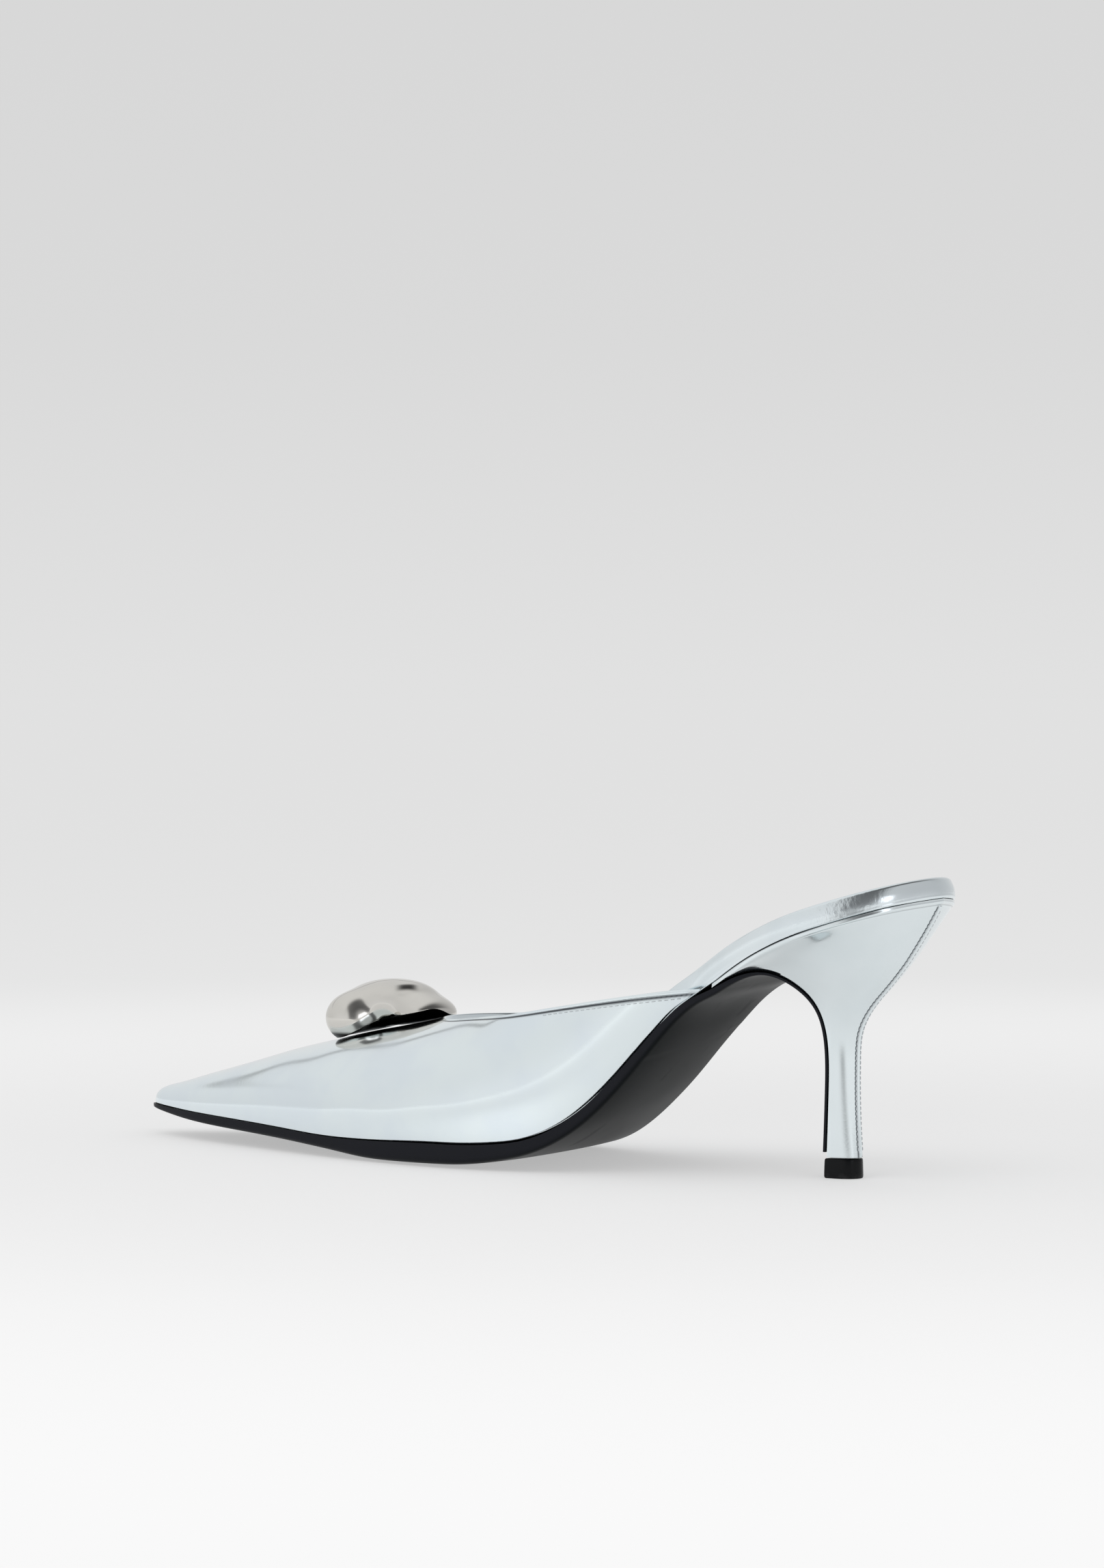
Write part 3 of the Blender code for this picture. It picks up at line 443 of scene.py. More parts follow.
class Tree:
    """A material's or the world's nodes."""

    def __init__(self, owner):
        owner.use_nodes = True
        self.owner, self.nodes, self.links = owner, owner.node_tree.nodes, owner.node_tree.links

    def join(self, socket, value):
        if isinstance(value, Wire):
            self.links.new(value.socket, socket)
        else:
            socket.default_value = value

    def node(self, kind, settings=None, inputs=None, out=0):
        node = self.nodes.new(kind)
        for key, value in (settings or {}).items():
            setattr(node, key, value)
        for key, value in (inputs or {}).items():
            self.join(node.inputs[key], value)
        return Wire(self, node.outputs[out])

    def mix(self, factor, first, second):
        """Colour between two colours."""
        return self.node("ShaderNodeMix", {"data_type": "RGBA"}, {0: factor, 6: first, 7: second}, 2)

    def grey(self, tone):
        """The colour that has one tone in all three parts."""
        return self.node("ShaderNodeCombineColor", {}, {0: tone, 1: tone, 2: tone})

    def dot(self, first, second):
        """Dot product of two directions."""
        return self.node("ShaderNodeVectorMath", {"operation": "DOT_PRODUCT"}, {0: first, 1: second}, 1)

    def part(self, vector, k):
        """One of the three parts of a vector."""
        return self.node("ShaderNodeSeparateXYZ", {}, {"Vector": vector}, k)

    def attribute(self, name):
        """The number that each point of the mesh carries under a name, or 0."""
        return self.node("ShaderNodeAttribute", {"attribute_name": name}, {}, 2)

    def noise(self, scale, detail=2.0, stretch=(1.0, 1.0, 1.0)):
        """Cloudy values about one half, scale in waves a metre."""
        spot = self.node("ShaderNodeMapping", {}, {"Vector": self.spot, "Scale": stretch})
        return self.node("ShaderNodeTexNoise", {}, {"Vector": spot, "Scale": scale, "Detail": detail})

    def cells(self, scale, feature="F1"):
        """Distances in a pattern of cells, scale in cells a metre."""
        return self.node("ShaderNodeTexVoronoi", {"feature": feature}, {"Vector": self.spot, "Scale": scale})

    def smooth(self, value, low, high):
        """0 below low, 1 above high."""
        settings = {"interpolation_type": "SMOOTHSTEP"}
        return self.node("ShaderNodeMapRange", settings, {0: value, 1: low, 2: high})

    def bell(self, value, middle, width):
        """exp(-((value - middle) / width)^2)."""
        away = (value - middle) / width
        return math.e ** (0.0 - away * away)

    def finish(self, base, roughness, height):
        """The material with a varying colour and roughness, and with a height that bends its normal."""
        bump = self.node("ShaderNodeBump", {}, {"Strength": 1.0, "Distance": 1.0, "Height": height})
        for name, value in (("Base Color", base), ("Roughness", roughness), ("Normal", bump)):
            self.join(self.shader.inputs[name], value)
        return self.owner


def paint(name, **constants):
    """A material with the shader's constant inputs, given with _ for a space."""
    tree = Tree(bpy.data.materials.new(name))
    tree.shader = tree.nodes["Principled BSDF"]
    tree.spot = tree.node("ShaderNodeTexCoord", {}, {}, 3)
    for key, value in constants.items():
        tree.shader.inputs[key.replace("_", " ")].default_value = value
    return tree


def colour(r, g, b):
    """Linear colour with full alpha."""
    return (r, g, b, 1.0)


# %% [markdown]
# ## Mirror-foil leather
#
# The vamp, the board's cover and the heel's cover are leather with a metal foil pressed on it. It
# mirrors like chrome, but softly, and it lets the skin beneath show: a faint pebbling, hair-thin
# creases where it is pulled round a curve, and a duller line along the sole where hands and glue have
# been. So it is a full metal with a varying roughness and three small bumps, not a grey plastic. Two
# numbers that the meshes carry steer it: edge, where the foil is worn, and a second one that paints
# shade, dark and rougher, into the fine line under the topline and into the hollows and the joint of
# the heel.

# %% Foil leather
# the dark tone of the painted shade in fine lines, hollows and joints
PAINTED_SHADE_TONE = colour(0.04, 0.045, 0.055)


def foil_leather(name, base, shade, roughness, pebble, crinkle, crinkle_scale=420.0, crinkle_zone=None):
    """Silver foil: base and shade colours, smoothness, and the height of its pebbling and crinkles.
    The zone gives middle and half width in x, in metres, of the part that is crinkled."""
    tree = paint(name, Metallic=1.0)
    clouds, skin = tree.noise(55.0, 3.0), tree.noise(900.0, 3.0)
    folds = tree.noise(crinkle_scale, 4.0, (1.0, 1.0, 0.6))
    scratch = tree.noise(160.0, 6.0, (0.25, 1.0, 1.0))
    lines = tree.cells(520.0, "DISTANCE_TO_EDGE")
    worn, crease_shade = tree.attribute("edge"), tree.attribute("crease_shade")
    foil = tree.mix(tree.smooth(clouds, 0.35, 0.7), base, shade)
    rough = roughness + 0.05 * tree.smooth(clouds, 0.4, 0.75) + 0.14 * worn * skin + 0.25 * crease_shade
    rough = rough + 0.05 * tree.smooth(scratch, 0.62, 0.72)
    zone = tree.bell(tree.part(tree.spot, 0), *crinkle_zone) if crinkle_zone else 1.0
    height = pebble * skin + pebble * 0.4 * tree.smooth(lines, 0.0, 0.12) + crinkle * folds * zone
    print(name, "roughness from", roughness)
    # painted shade: the colour goes towards the dark tone where the mesh marks a fine line, a hollow or a joint
    return tree.finish(tree.mix(crease_shade, foil, PAINTED_SHADE_TONE), rough, height)


vamp_leather = foil_leather("foil leather, vamp", colour(0.83, 0.905, 0.925), colour(0.79, 0.865, 0.91),
                            0.09, 0.0000035, 0.0000020)
band_leather = foil_leather("foil leather, footbed", colour(0.80, 0.865, 0.89), colour(0.74, 0.81, 0.84),
                            0.13, 0.0000040, 0.000130, 800.0, (0.006, 0.012))
heel_leather = foil_leather("foil leather, heel", colour(0.82, 0.885, 0.905), colour(0.79, 0.86, 0.88),
                            0.12, 0.0000035, 0.0000060)

# %% [markdown]
# ## The other finishes
#
# The lining and the sock are smooth matt leather with pores. The sole is dyed black and burnished, so
# its underside has a satin sheen with fine scuffs, and the cap is hard black plastic. The pebble is
# cast metal with a warm nickel plating and almost no roughness. It is dark and rougher where its skin
# turns down under its belly, and a small pit on top is painted dark as a painted reflection. The
# thread is twisted and dull.

# %% Lining and sock leather
def lining_leather(name, base, shade):
    """Matt leather: two colours in soft clouds, with pores."""
    tree = paint(name)
    clouds, skin = tree.noise(70.0, 4.0), tree.noise(1100.0, 3.0)
    height = 0.00003 * skin - 0.00002 * tree.smooth(tree.cells(1500.0), 0.35, 0.0)
    return tree.finish(tree.mix(tree.smooth(clouds, 0.3, 0.7), base, shade), 0.48 + 0.16 * skin, height)


sock_leather = lining_leather("sock leather", colour(0.60, 0.585, 0.56), colour(0.54, 0.525, 0.50))
inner_leather = lining_leather("lining leather", colour(0.66, 0.65, 0.63), colour(0.58, 0.57, 0.55))
print("lining materials made")


# %% Sole, cap, pebble and thread
def sole_leather():
    """Black burnished leather: grain, long scuffs, and where edge is 1 a polished edge, smoother and painted
    lighter as a sheen.
    """
    tree = paint("sole leather, black", Specular_IOR_Level=0.02)
    clouds, grain = tree.noise(45.0, 4.0), tree.noise(1400.0, 3.0)
    scuffs = tree.noise(120.0, 6.0, (0.15, 1.0, 1.0))
    polished_sheen = tree.attribute("edge")
    dark, worn = colour(0.0034, 0.0050, 0.0056), colour(0.0065, 0.0086, 0.0094)
    hide = tree.mix(tree.smooth(clouds, 0.4, 0.75), dark, worn)
    rough = 0.28 + 0.08 * clouds + 0.05 * tree.smooth(scuffs, 0.6, 0.72) - 0.12 * polished_sheen
    height = 0.000010 * grain + 0.000008 * scuffs
    # painted sheen: the polished edge takes a lighter colour, beside its real lower roughness
    return tree.finish(tree.mix(polished_sheen, hide, colour(0.019, 0.020, 0.024)), rough, height)


def cap_plastic():
    """Hard black plastic, scuffed dull towards the floor."""
    tree = paint("cap plastic, black", Specular_IOR_Level=0.15)
    grit = tree.noise(700.0, 4.0)
    low = 1.0 - tree.smooth(tree.part(tree.spot, 2), 0.0, 0.0022)
    dark, worn = colour(0.0042, 0.0046, 0.0054), colour(0.018, 0.018, 0.019)
    base = tree.mix(low * tree.smooth(grit, 0.45, 0.7), dark, worn)
    return tree.finish(base, 0.16 + 0.08 * grit + 0.22 * low, 0.000006 * grit)


def nickel():
    """Polished plating: a slow change of tone, the faint haze of wiping, and dark and rough where under is 1,
    which marks where the skin turns down and, as a painted reflection, the pit on top.
    """
    tree = paint("nickel plating, polished", Metallic=1.0)
    clouds, wiped = tree.noise(90.0, 3.0), tree.noise(500.0, 5.0, (1.0, 0.2, 0.6))
    under = tree.attribute("under")
    bright = tree.mix(tree.smooth(clouds, 0.3, 0.7), colour(0.70, 0.685, 0.645), colour(0.655, 0.64, 0.605))
    # dark where the skin turns down, and in the pit on top a painted reflection
    base = tree.mix(under, bright, colour(0.022, 0.020, 0.018))
    return tree.finish(base, 0.035 + 0.03 * wiped + 0.30 * under, 0.0000012 * clouds)


def thread():
    """Silvery thread with its twist."""
    tree = paint("thread, silver grey", Metallic=0.35)
    twist = tree.noise(4000.0)
    base = tree.mix(twist, colour(0.50, 0.53, 0.55), colour(0.72, 0.75, 0.77))
    return tree.finish(base, 0.42 + 0.2 * twist, 0.00004 * twist)


black_sole, black_cap, plating, silver_thread = sole_leather(), cap_plastic(), nickel(), thread()
print("materials:", len(bpy.data.materials))

# %% [markdown]
# ## The upper
#
# The upper is one shell of leather pulled over the last. Two grids cover the outer and the inner side.
# They share the crest in front of the throat and part behind it. Each has a second face one wall
# further in, the lining. Foil leather is never quite flat, so a few long soft ripples are laid over it,
# which is what makes its reflections wander.

# %% Ripples of the vamp
# x, y, z of the middle in mm, direction in plan and rise, half length, half width, height, in mm
RIPPLES = np.array((
    (-128.0, -36.0, 24.0, 0.75, 0.62, 26.0, 5.0, 0.10),
    (-112.0, -38.0, 24.0, 0.80, 0.58, 30.0, 6.0, -0.13),
    (-96.0, -37.0, 28.0, 0.80, 0.58, 26.0, 5.0, 0.10),
    (-160.0, -25.0, 22.0, 0.95, 0.20, 24.0, 7.0, -0.07),
    (-60.0, -30.0, 40.0, 0.90, 0.35, 16.0, 4.0, 0.06),
    (-118.0, 38.0, 24.0, 0.80, 0.58, 28.0, 6.0, -0.12),
    (-98.0, 36.0, 28.0, 0.80, 0.58, 26.0, 5.0, 0.10)))


def ripples(points):
    """Sum of height exp(-(along / length)^2 - (square / width)^2) over the ripples, on their own side."""
    total = np.zeros(points.shape[:-1])
    for x, y, z, run, rise, long, wide, height in RIPPLES:
        away_x, away_z = points[..., 0] / MM - x, points[..., 2] / MM - z
        length = away_x * run + away_z * rise
        square = away_z * run - away_x * rise
        side = ease(-6.0, 6.0, points[..., 1] / MM * np.sign(y))
        total += height * MM * side * np.exp(-(length / long) ** 2 - (square / wide) ** 2)
    return total


# %% Upper, outer face and lining
# the fine line under the rolled edge, a shallow groove darkened by painted shade, in mm: how far down it lies,
# its half width, and its depth
LINE_AT, LINE_WIDTH, LINE_DEPTH = 1.02, 0.42, 0.09


def wall_at(at):
    """Thickness of the upper's leather, thinner towards its rear points."""
    return WALL + (TAIL_WALL - WALL) * ease(0.70, TAIL_AT, at)


def upper_side(side, front, rear, across):
    """Grid of one side from the sole's edge to the collar: outer points, lining, normals, and the mask of the
    painted shade in the fine line under the rolled edge.
    """
    at = np.concatenate([front, rear[1:]])[:, None]
    start, stop = edge_angle(at), collar_angle(at, side)
    if side > 0:
        start = math.pi - start
    outer = section(at, start + (stop - start) * across[None, :])
    normal = grid_normals(outer) * (1.0 if side < 0 else -1.0)
    normal[0] = (-1.0, 0.0, 0.0)
    flat = unit(normal[:len(front), -1] * np.array([1.0, 0.0, 1.0]))
    normal[1:len(front), -1] = flat[1:]
    wall = wall_at(at)[..., None] * (0.02 + 0.98 * ease(0.0, 0.03, at)[..., None])
    run = np.cumsum(np.linalg.norm(np.diff(outer[:, ::-1], axis=1), axis=2), axis=1)[:, ::-1]
    below = np.concatenate([run, np.zeros((len(at), 1))], axis=1) / MM
    # painted shade: the fine line under the rolled edge is marked for a dark colour, beside its shallow groove
    crease_shade = bell(below, LINE_AT, LINE_WIDTH) * ease(0.415, 0.45, at)
    outer = outer + normal * (ripples(outer) * ease(0.02, 0.08, at) - LINE_DEPTH * MM * crease_shade)[..., None]
    return outer, outer - normal * wall, normal, crease_shade


front = THROAT_AT * np.linspace(0.0, 1.0, 130) ** 1.5
rear = THROAT_AT + (TAIL_AT - THROAT_AT) * np.linspace(0.0, 1.0, 120) ** 1.6
across = np.concatenate([np.linspace(0.0, 0.93, 48), np.linspace(0.93, 1.0, 25)[1:]])
open_part = slice(len(front) - 1, None)
grids, edges, crease_shades, rims = [], [], [], {}
for side in (-1, 1):
    outer, lining, normal, crease_shade = upper_side(side, front, rear, across)
    rims[side] = outer[open_part, -1], normal[open_part, -1]
    flip, worn = side > 0, np.exp(-across * 45.0)
    # each grid with its turn, the place of its material, and what it carries as edge and as painted shade
    for grid, turned, kind, edge, crease_shaded in (
            (outer, flip, 0, worn, crease_shade), (lining, not flip, 1, worn, 0.0),
            (np.stack([lining[:, 0], outer[:, 0]], axis=1), flip, 0, 1.0, 0.0),
            (np.stack([outer[-1], lining[-1]], axis=0), flip, 0, 0.0, 0.0),
            (np.stack([outer[open_part, -1], lining[open_part, -1]], axis=1), flip, 0, 0.0, 0.0)):
        grids.append((grid, False, turned, kind))
        edges.append(np.broadcast_to(edge, grid.shape[:2]).ravel())
        crease_shades.append(np.broadcast_to(crease_shaded, grid.shape[:2]).ravel())
make_piece("upper_leather", grids, (vamp_leather, inner_leather), sharp=60.0,
           values={"edge": np.concatenate(edges), "crease_shade": np.concatenate(crease_shades)},
           stands_for=("upper",))

# %% [markdown]
# ## The rolled topline
#
# A maker folds the leather over at the collar, so the edge is a soft roll a little thicker than the
# wall, with a fine line beneath it. It is a rounded profile carried along the collar from one rear end
# round the throat to the other. Carrying a profile keeps the highlight on it unbroken.

# %% Topline roll
def smoothed(values, passes):
    """Mean with both neighbours, several times, the ends kept."""
    values = values.copy()
    for _ in range(passes):
        values[1:-1] = 0.25 * values[:-2] + 0.5 * values[1:-1] + 0.25 * values[2:]
    return values


def powered(value, power):
    """|value|^power with the value's sign: squares a circle's profile."""
    return np.sign(value) * np.abs(value) ** power


def roll(path, normal, up, wall, size):
    """Rounded profile over the wall's edge: across (wall/2 + proud) cos^0.7, along the wall by sin^0.85."""
    turn = np.linspace(0.0, 2.0 * math.pi, 28, endpoint=False)
    out = (0.5 * wall + ROLL_PROUD * size)[:, None] * powered(np.cos(turn), 0.7)
    rise = (ROLL_RISE * powered(np.sin(turn), 0.85) - ROLL_SINK) * size[:, None]
    middle = path - normal * wall[:, None] * 0.5
    return middle[:, None, :] + normal[:, None, :] * out[..., None] + up[:, None, :] * rise[..., None]


def capped(ring):
    """The rings with both ends drawn in to a point."""
    return np.concatenate([np.broadcast_to(ring[:1].mean(axis=1, keepdims=True), ring[:1].shape), ring,
                           np.broadcast_to(ring[-1:].mean(axis=1, keepdims=True), ring[-1:].shape)])


# in mm: how far the roll stands out on both faces of the wall, its half height, and how far it sits down
ROLL_PROUD, ROLL_RISE, ROLL_SINK = 0.20, 0.50, 0.20
collar, collar_out = [np.concatenate([near[::-1], far[1:]]) for near, far in zip(rims[-1], rims[1])]
run = run_of(collar)
steps = np.linspace(0.0, run[-1], 620)
collar_path = carried(steps, run, collar)
collar_normal = unit(smoothed(unit(carried(steps, run, collar_out)), 6))
tangent = unit(np.gradient(collar_path, axis=0))
collar_normal = unit(collar_normal - tangent * (collar_normal * tangent).sum(axis=1, keepdims=True))
up = unit(np.cross(collar_normal, tangent))
up = up * np.sign((up * np.array([0.35, 0.0, 1.0])).sum(axis=1, keepdims=True))
taper = 0.25 + 0.75 * ease(0.0, 5.0 * MM, np.minimum(steps, steps[-1] - steps))
rolled = capped(roll(collar_path, collar_normal, up, wall_at(station(collar_path[:, 0])), taper * MM))
make_piece("topline_roll", [(rolled, True, False)], (vamp_leather,),
           values={"edge": np.zeros(rolled.shape[:2])})
print("topline length, mm:", round(steps[-1] / MM, 1))

# %% [markdown]
# ## Stitches
#
# A stitch is a short thread with rounded ends, partly sunk in the leather. One small capsule is
# worked out once as a grid and copied along a path as whole arrays.

# %% Stitches along a path
def stitches(name, paths, size, pitch, sink):
    """Capsules of length and radius size = (a, r), one each pitch, turned to the path, sunk by sink."""
    slide = np.array([-1.0, -0.92, -0.55, 0.0, 0.55, 0.92, 1.0]) * size[0]
    girth = np.array([0.05, 0.62, 0.96, 1.0, 0.96, 0.62, 0.05]) * size[1]
    turn = np.linspace(0.0, 2.0 * math.pi, 8, endpoint=False)
    grids = []
    for path, normal in paths:
        run = run_of(path)
        count = max(int(run[-1] / pitch), 2)
        where = (np.arange(count) + 0.5) * run[-1] / count
        out = unit(carried(where, run, normal))
        ahead = unit(along(path, where + 0.2 * MM) - along(path, where - 0.2 * MM))
        beside = unit(np.cross(out, ahead))
        spots = along(path, where) - out * sink
        ring = (beside[:, None, None, :] * np.cos(turn)[None, None, :, None]
                + out[:, None, None, :] * np.sin(turn)[None, None, :, None])
        bodies = spots[:, None, None, :] + ahead[:, None, None, :] * slide[None, :, None, None]
        grids += [(body, True, False) for body in bodies + ring * girth[None, :, None, None]]
    make_piece(name, grids, (silver_thread,))


STITCH_BELOW, STITCH_OUT = 1.95 * MM, 0.02 * MM
stitch_line = collar_path - up * STITCH_BELOW + collar_normal * STITCH_OUT
share = station(collar_path[:, 0])
middle = len(share) // 2
chosen = np.flatnonzero((share > 0.60) & (share < 0.752))
stitches("topline_stitches",
         [(stitch_line[run], collar_normal[run]) for run in (chosen[chosen < middle], chosen[chosen > middle])],
         (0.55 * MM, 0.11 * MM), 1.6 * MM, 0.03 * MM)

# %% [markdown]
# ## The footbed and its sock
#
# The board is covered in the same foil leather. Behind the vamp its side shows as a band. The cover is
# drawn round the edge, so the rounding has to run evenly round the back too. For that the outline is
# taken as one closed path, and the side, the rim and the hollow for the sock are offsets of it.

# %% Outline of the board
def board_outline(count, first=0.035):
    """Closed path in plan: outer side from the toe to the back, then the inner side forward."""
    at = 1.0 - (1.0 - first) * np.linspace(1.0, 0.0, 900) ** 2.2
    near = np.stack([place(at), -board_half(at, -1)], axis=-1)
    far = np.stack([place(at), board_half(at, 1)], axis=-1)[::-1]
    loop = np.concatenate([near, far[1:]])
    loop = along(loop, np.linspace(0.0, run_of(loop)[-1], count))
    ahead = unit(np.gradient(loop, axis=0))
    return loop, np.stack([ahead[:, 1], -ahead[:, 0]], axis=-1)


def bed_height(x):
    """Thickness of the footbed."""
    share = np.clip(band_share(station(x)), 0.0, 1.0)
    return BOARD_THICKNESS + (BAND_THICKNESS - BOARD_THICKNESS) * share


def board_skin(loop, out, rows):
    """Grid over rows of (inset from the outline, share of the thickness, lift over that, and share of
    the way to the middle line), the inset and the lift in mm."""
    spine_x = np.clip(loop[:, 0], loop[:, 0].min() + 3.0 * MM, BACK_X - 22.0 * MM)
    spine = np.stack([spine_x, 0.0 * spine_x], axis=-1)
    narrow = np.where(loop[:, 0] > BACK_X - 60.0 * MM, np.inf, np.abs(loop[:, 1]) * 0.9)
    rings = []
    for inset, share, lift, draw in rows:
        spot = loop - out * np.minimum(narrow, inset * MM)[:, None]
        spot = spot + (spine - spot) * draw
        height = CLEARANCE + bed_height(spot[:, 0]) * share + lift * MM
        rings.append(over_bottom(spot[:, 0], spot[:, 1], height))
    return np.stack(rings, axis=0)


loop, out = board_outline(760)
quarter = np.linspace(0.0, 0.5 * math.pi, 7)
rows = [(0.8, 0.0, -0.18, draw) for draw in (1.0, 0.6, 0.25, 0.0)]
rows += [(0.45 * (1.0 - math.sin(q)) + 0.02, 0.0, -0.18 + 0.83 * (1.0 - math.cos(q)), 0.0) for q in quarter[1:]]
rows += [(-0.22 * math.sin(math.pi * t), t, 0.65 - 1.75 * t, 0.0) for t in np.linspace(0.08, 0.95, 12)]
rows += [(1.15 * (1.0 - math.cos(q)), 1.0, -1.15 + 1.15 * math.sin(q), 0.0) for q in quarter]
rows += [(1.7, 1.0, 0.01, 0.0), (2.2, 1.0, 0.0, 0.0), (2.42, 1.0, -0.06, 0.0), (2.52, 1.0, -0.30, 0.0)]
rows += [(2.56, 1.0, -0.70, 0.0), (2.7, 1.0, -0.80, 0.0), (2.7, 1.0, -0.80, 0.3), (2.7, 1.0, -0.80, 1.0)]
skin = board_skin(loop, out, rows)
make_piece("footbed_cover", [(skin, True, False)], (band_leather,),
           values={"edge": np.zeros(skin.shape[:2])}, stands_for=("footbed",))

# %% Sock
rows = [(2.9, 1.0, -0.52, 1.0), (2.9, 1.0, -0.52, 0.4), (2.9, 1.0, -0.52, 0.0), (2.82, 1.0, -0.40, 0.0)]
rows += [(2.8, 1.0, -0.22, 0.0), (2.84, 1.0, -0.06, 0.0), (3.0, 1.0, 0.03, 0.0), (3.4, 1.0, 0.07, 0.0)]
rows += [(5.0, 1.0, 0.08, draw) for draw in (0.0, 0.1, 0.2, 0.35, 0.5, 0.65, 0.8, 0.9, 1.0)]
make_piece("sock_lining", [(board_skin(loop, out, rows), True, False)], (sock_leather,),
           stands_for=("sock",))

# %% [markdown]
# ## The sole
#
# The sole is cut from one strip of leather: under the foot, up the waist, and on as a thin flap down
# the breast of the heel. It is a profile carried along that path, level on top, with a rounded edge.
# In the waist the underside is a little crowned, so its far edge catches a sheen.

# %% Path of the sole
def breast_twist(x):
    """Slope across of the sole's upper face and of the heel's breast."""
    return bottom_twist(np.minimum(station(x), 0.886))


def flap_line():
    """Upper face of the sole in side view from the waist down the breast: run, and x, z, half over it."""
    x = place(np.array([0.700, 0.715, 0.730, 0.745, 0.760]))
    half = 0.5 * (edge_half(station(x), -1) + edge_half(station(x), 1)) + SOLE_LIP
    waist = np.stack([x, bottom_z(x, 0.0) - wedge(x), half], axis=-1)
    scale = np.array([SHOE_LENGTH, HEEL_HEIGHT, COLUMN_WIDTH])
    rows = np.concatenate([waist, HEEL[:, :3] * scale + np.array([0.0, 0.0, SOLE_LIP])])
    run = run_of(rows[:, :2])
    return run, [spline(run, rows[:, k]) for k in range(3)]


def heading(s, step=0.1 * MM):
    """Direction (x, z) of the flap's line at a distance."""
    return unit(np.stack([line(s + step) - line(s - step) for line in (line_x, line_z)], axis=-1))


def sole_profile():
    """Side and underside: down from the top edge, round with a superellipse, in along the bottom."""
    turn = np.linspace(0.0, 0.5 * math.pi, 15)
    across = np.concatenate([[1.0, 1.0], 0.90 + 0.10 * np.cos(turn) ** 0.8, np.linspace(0.88, 0.0, 14)])
    down = np.concatenate([[0.0, 0.2], 0.38 + 0.62 * np.sin(turn) ** 0.8, np.ones(14)])
    return across, down


def sole_rings(middle, normal, near, far, thick, crown, lift):
    """Rings across the path, with a mark that is 1 along the side; middle and normal are (x, z), lift
    gives the rise of a point across. Towards its edges the underside rises by crown * across^3."""
    across, down = sole_profile()
    top = np.linspace(1.0, 0.0, 12)[1:]
    mark = np.concatenate([bell(across, 1.0, 0.03), 0.0 * top])
    sunk = thick[:, None] * down[None, :] - crown[:, None] * (down * across**3)[None, :]
    sunk = np.concatenate([sunk, np.zeros((len(sunk), len(top)))], axis=1)
    sides = []
    for side, half in ((-1, near), (1, far)):
        y = side * half[:, None] * np.concatenate([across, top[::-1]])[None, :]
        z = middle[:, 1:] + lift(y) - normal[:, 1:] * sunk
        sides.append((xyz(middle[:, :1] - normal[:, :1] * sunk, y, np.maximum(z, 0.0)),
                      np.broadcast_to(mark[None, :], y.shape)))
    n = len(across)
    return [np.concatenate([near[:, :n][:, ::-1], near[:, n:][:, ::-1], far[:, n:][:, 1:], far[:, :n]], axis=1)
            for near, far in zip(*sides)]


# %% Outsole
CROWN = 0.75 * MM
at = 0.0006 + (0.700 - 0.0006) * np.linspace(0.0, 1.0, 240) ** 1.35
x = place(at)
slope, level = bottom_slope(x), bottom_z(x, 0.0)
toe = rounding(at * SHOE_LENGTH + SOLE_LIP, TOE_ROUND) / rounding(at * SHOE_LENGTH, TOE_ROUND)
walk, walk_mark = sole_rings(np.stack([x, level], axis=-1), np.stack([-np.sin(slope), np.cos(slope)], axis=-1),
                             edge_half(at, -1) * toe + SOLE_LIP, edge_half(at, 1) * toe + SOLE_LIP,
                             sole_thick(at) * SOLE_THICKNESS, CROWN * ease(0.47, 0.60, at),
                             lambda y: bottom_z(x[:, None], y) - level[:, None])
flap_run, (line_x, line_z, line_half) = flap_line()
s = np.linspace(0.0, flap_run[-1] - 0.25 * CAP_HEIGHT, 150)[1:]
flap_x, tangent = line_x(s), heading(s)
thick = sole_thick(np.minimum(station(flap_x), 0.79)) * SOLE_THICKNESS
thick = FLAP_THICKNESS + (thick - FLAP_THICKNESS) * (1.0 - ease(flap_run[4], flap_run[8], s))
held = np.minimum(station(flap_x), 0.772)
skew = 0.5 * (edge_half(held, -1) - edge_half(held, 1)) * (1.0 - ease(flap_run[0], flap_run[5], s))
twist = breast_twist(flap_x)[:, None]
flap, flap_mark = sole_rings(np.stack([flap_x, line_z(s)], axis=-1), tangent[:, ::-1] * np.array([-1.0, 1.0]),
                             line_half(s) + skew, line_half(s) - skew, thick,
                             CROWN * (1.0 - ease(flap_run[3], flap_run[7], s)), lambda y: twist * y)
make_piece("outsole_leather", [(capped(np.concatenate([walk, flap])), True, False)], (black_sole,), sharp=50.0,
           values={"edge": np.concatenate([walk_mark[:1], walk_mark, flap_mark, flap_mark[-1:]])},
           stands_for=("outsole",))

# %% [markdown]
# ## The heel
#
# The heel is a moulded block with leather drawn round it and closed by a seam down the back. Its rings
# run from the tilted seat down to the round column, and where they fold just under the seat they are
# eased. Each ring is measured from the back seam, so the fine roll under the seat, the raised seam and
# its stitches can be laid in by distance.

# %% Rings of the heel
FORE_X = HEEL[0, 0] * SHOE_LENGTH
HEEL_FRONT = station(FORE_X)
# beside the seam, this length of each half ring takes this share of its knots, for the fine ridge
SEAM_REACH, SEAM_SHARE = 3.0 * MM, 0.4


def heel_outline(share, blend):
    """Half width over the front edge's: seat outline and a rounded stem, mixed by blend."""
    at = HEEL_FRONT + (0.998 - HEEL_FRONT) * share
    seat = (seat_half(at, -1) + seat_half(at, 1)) / (seat_half(HEEL_FRONT, -1) + seat_half(HEEL_FRONT, 1))
    seat = seat * (1.0 - share**40)
    stem = (1.0 + 0.08 * share) * np.sqrt(np.maximum(1.0 - share**2.1, 0.0))
    return seat * (1.0 - blend) + stem * blend


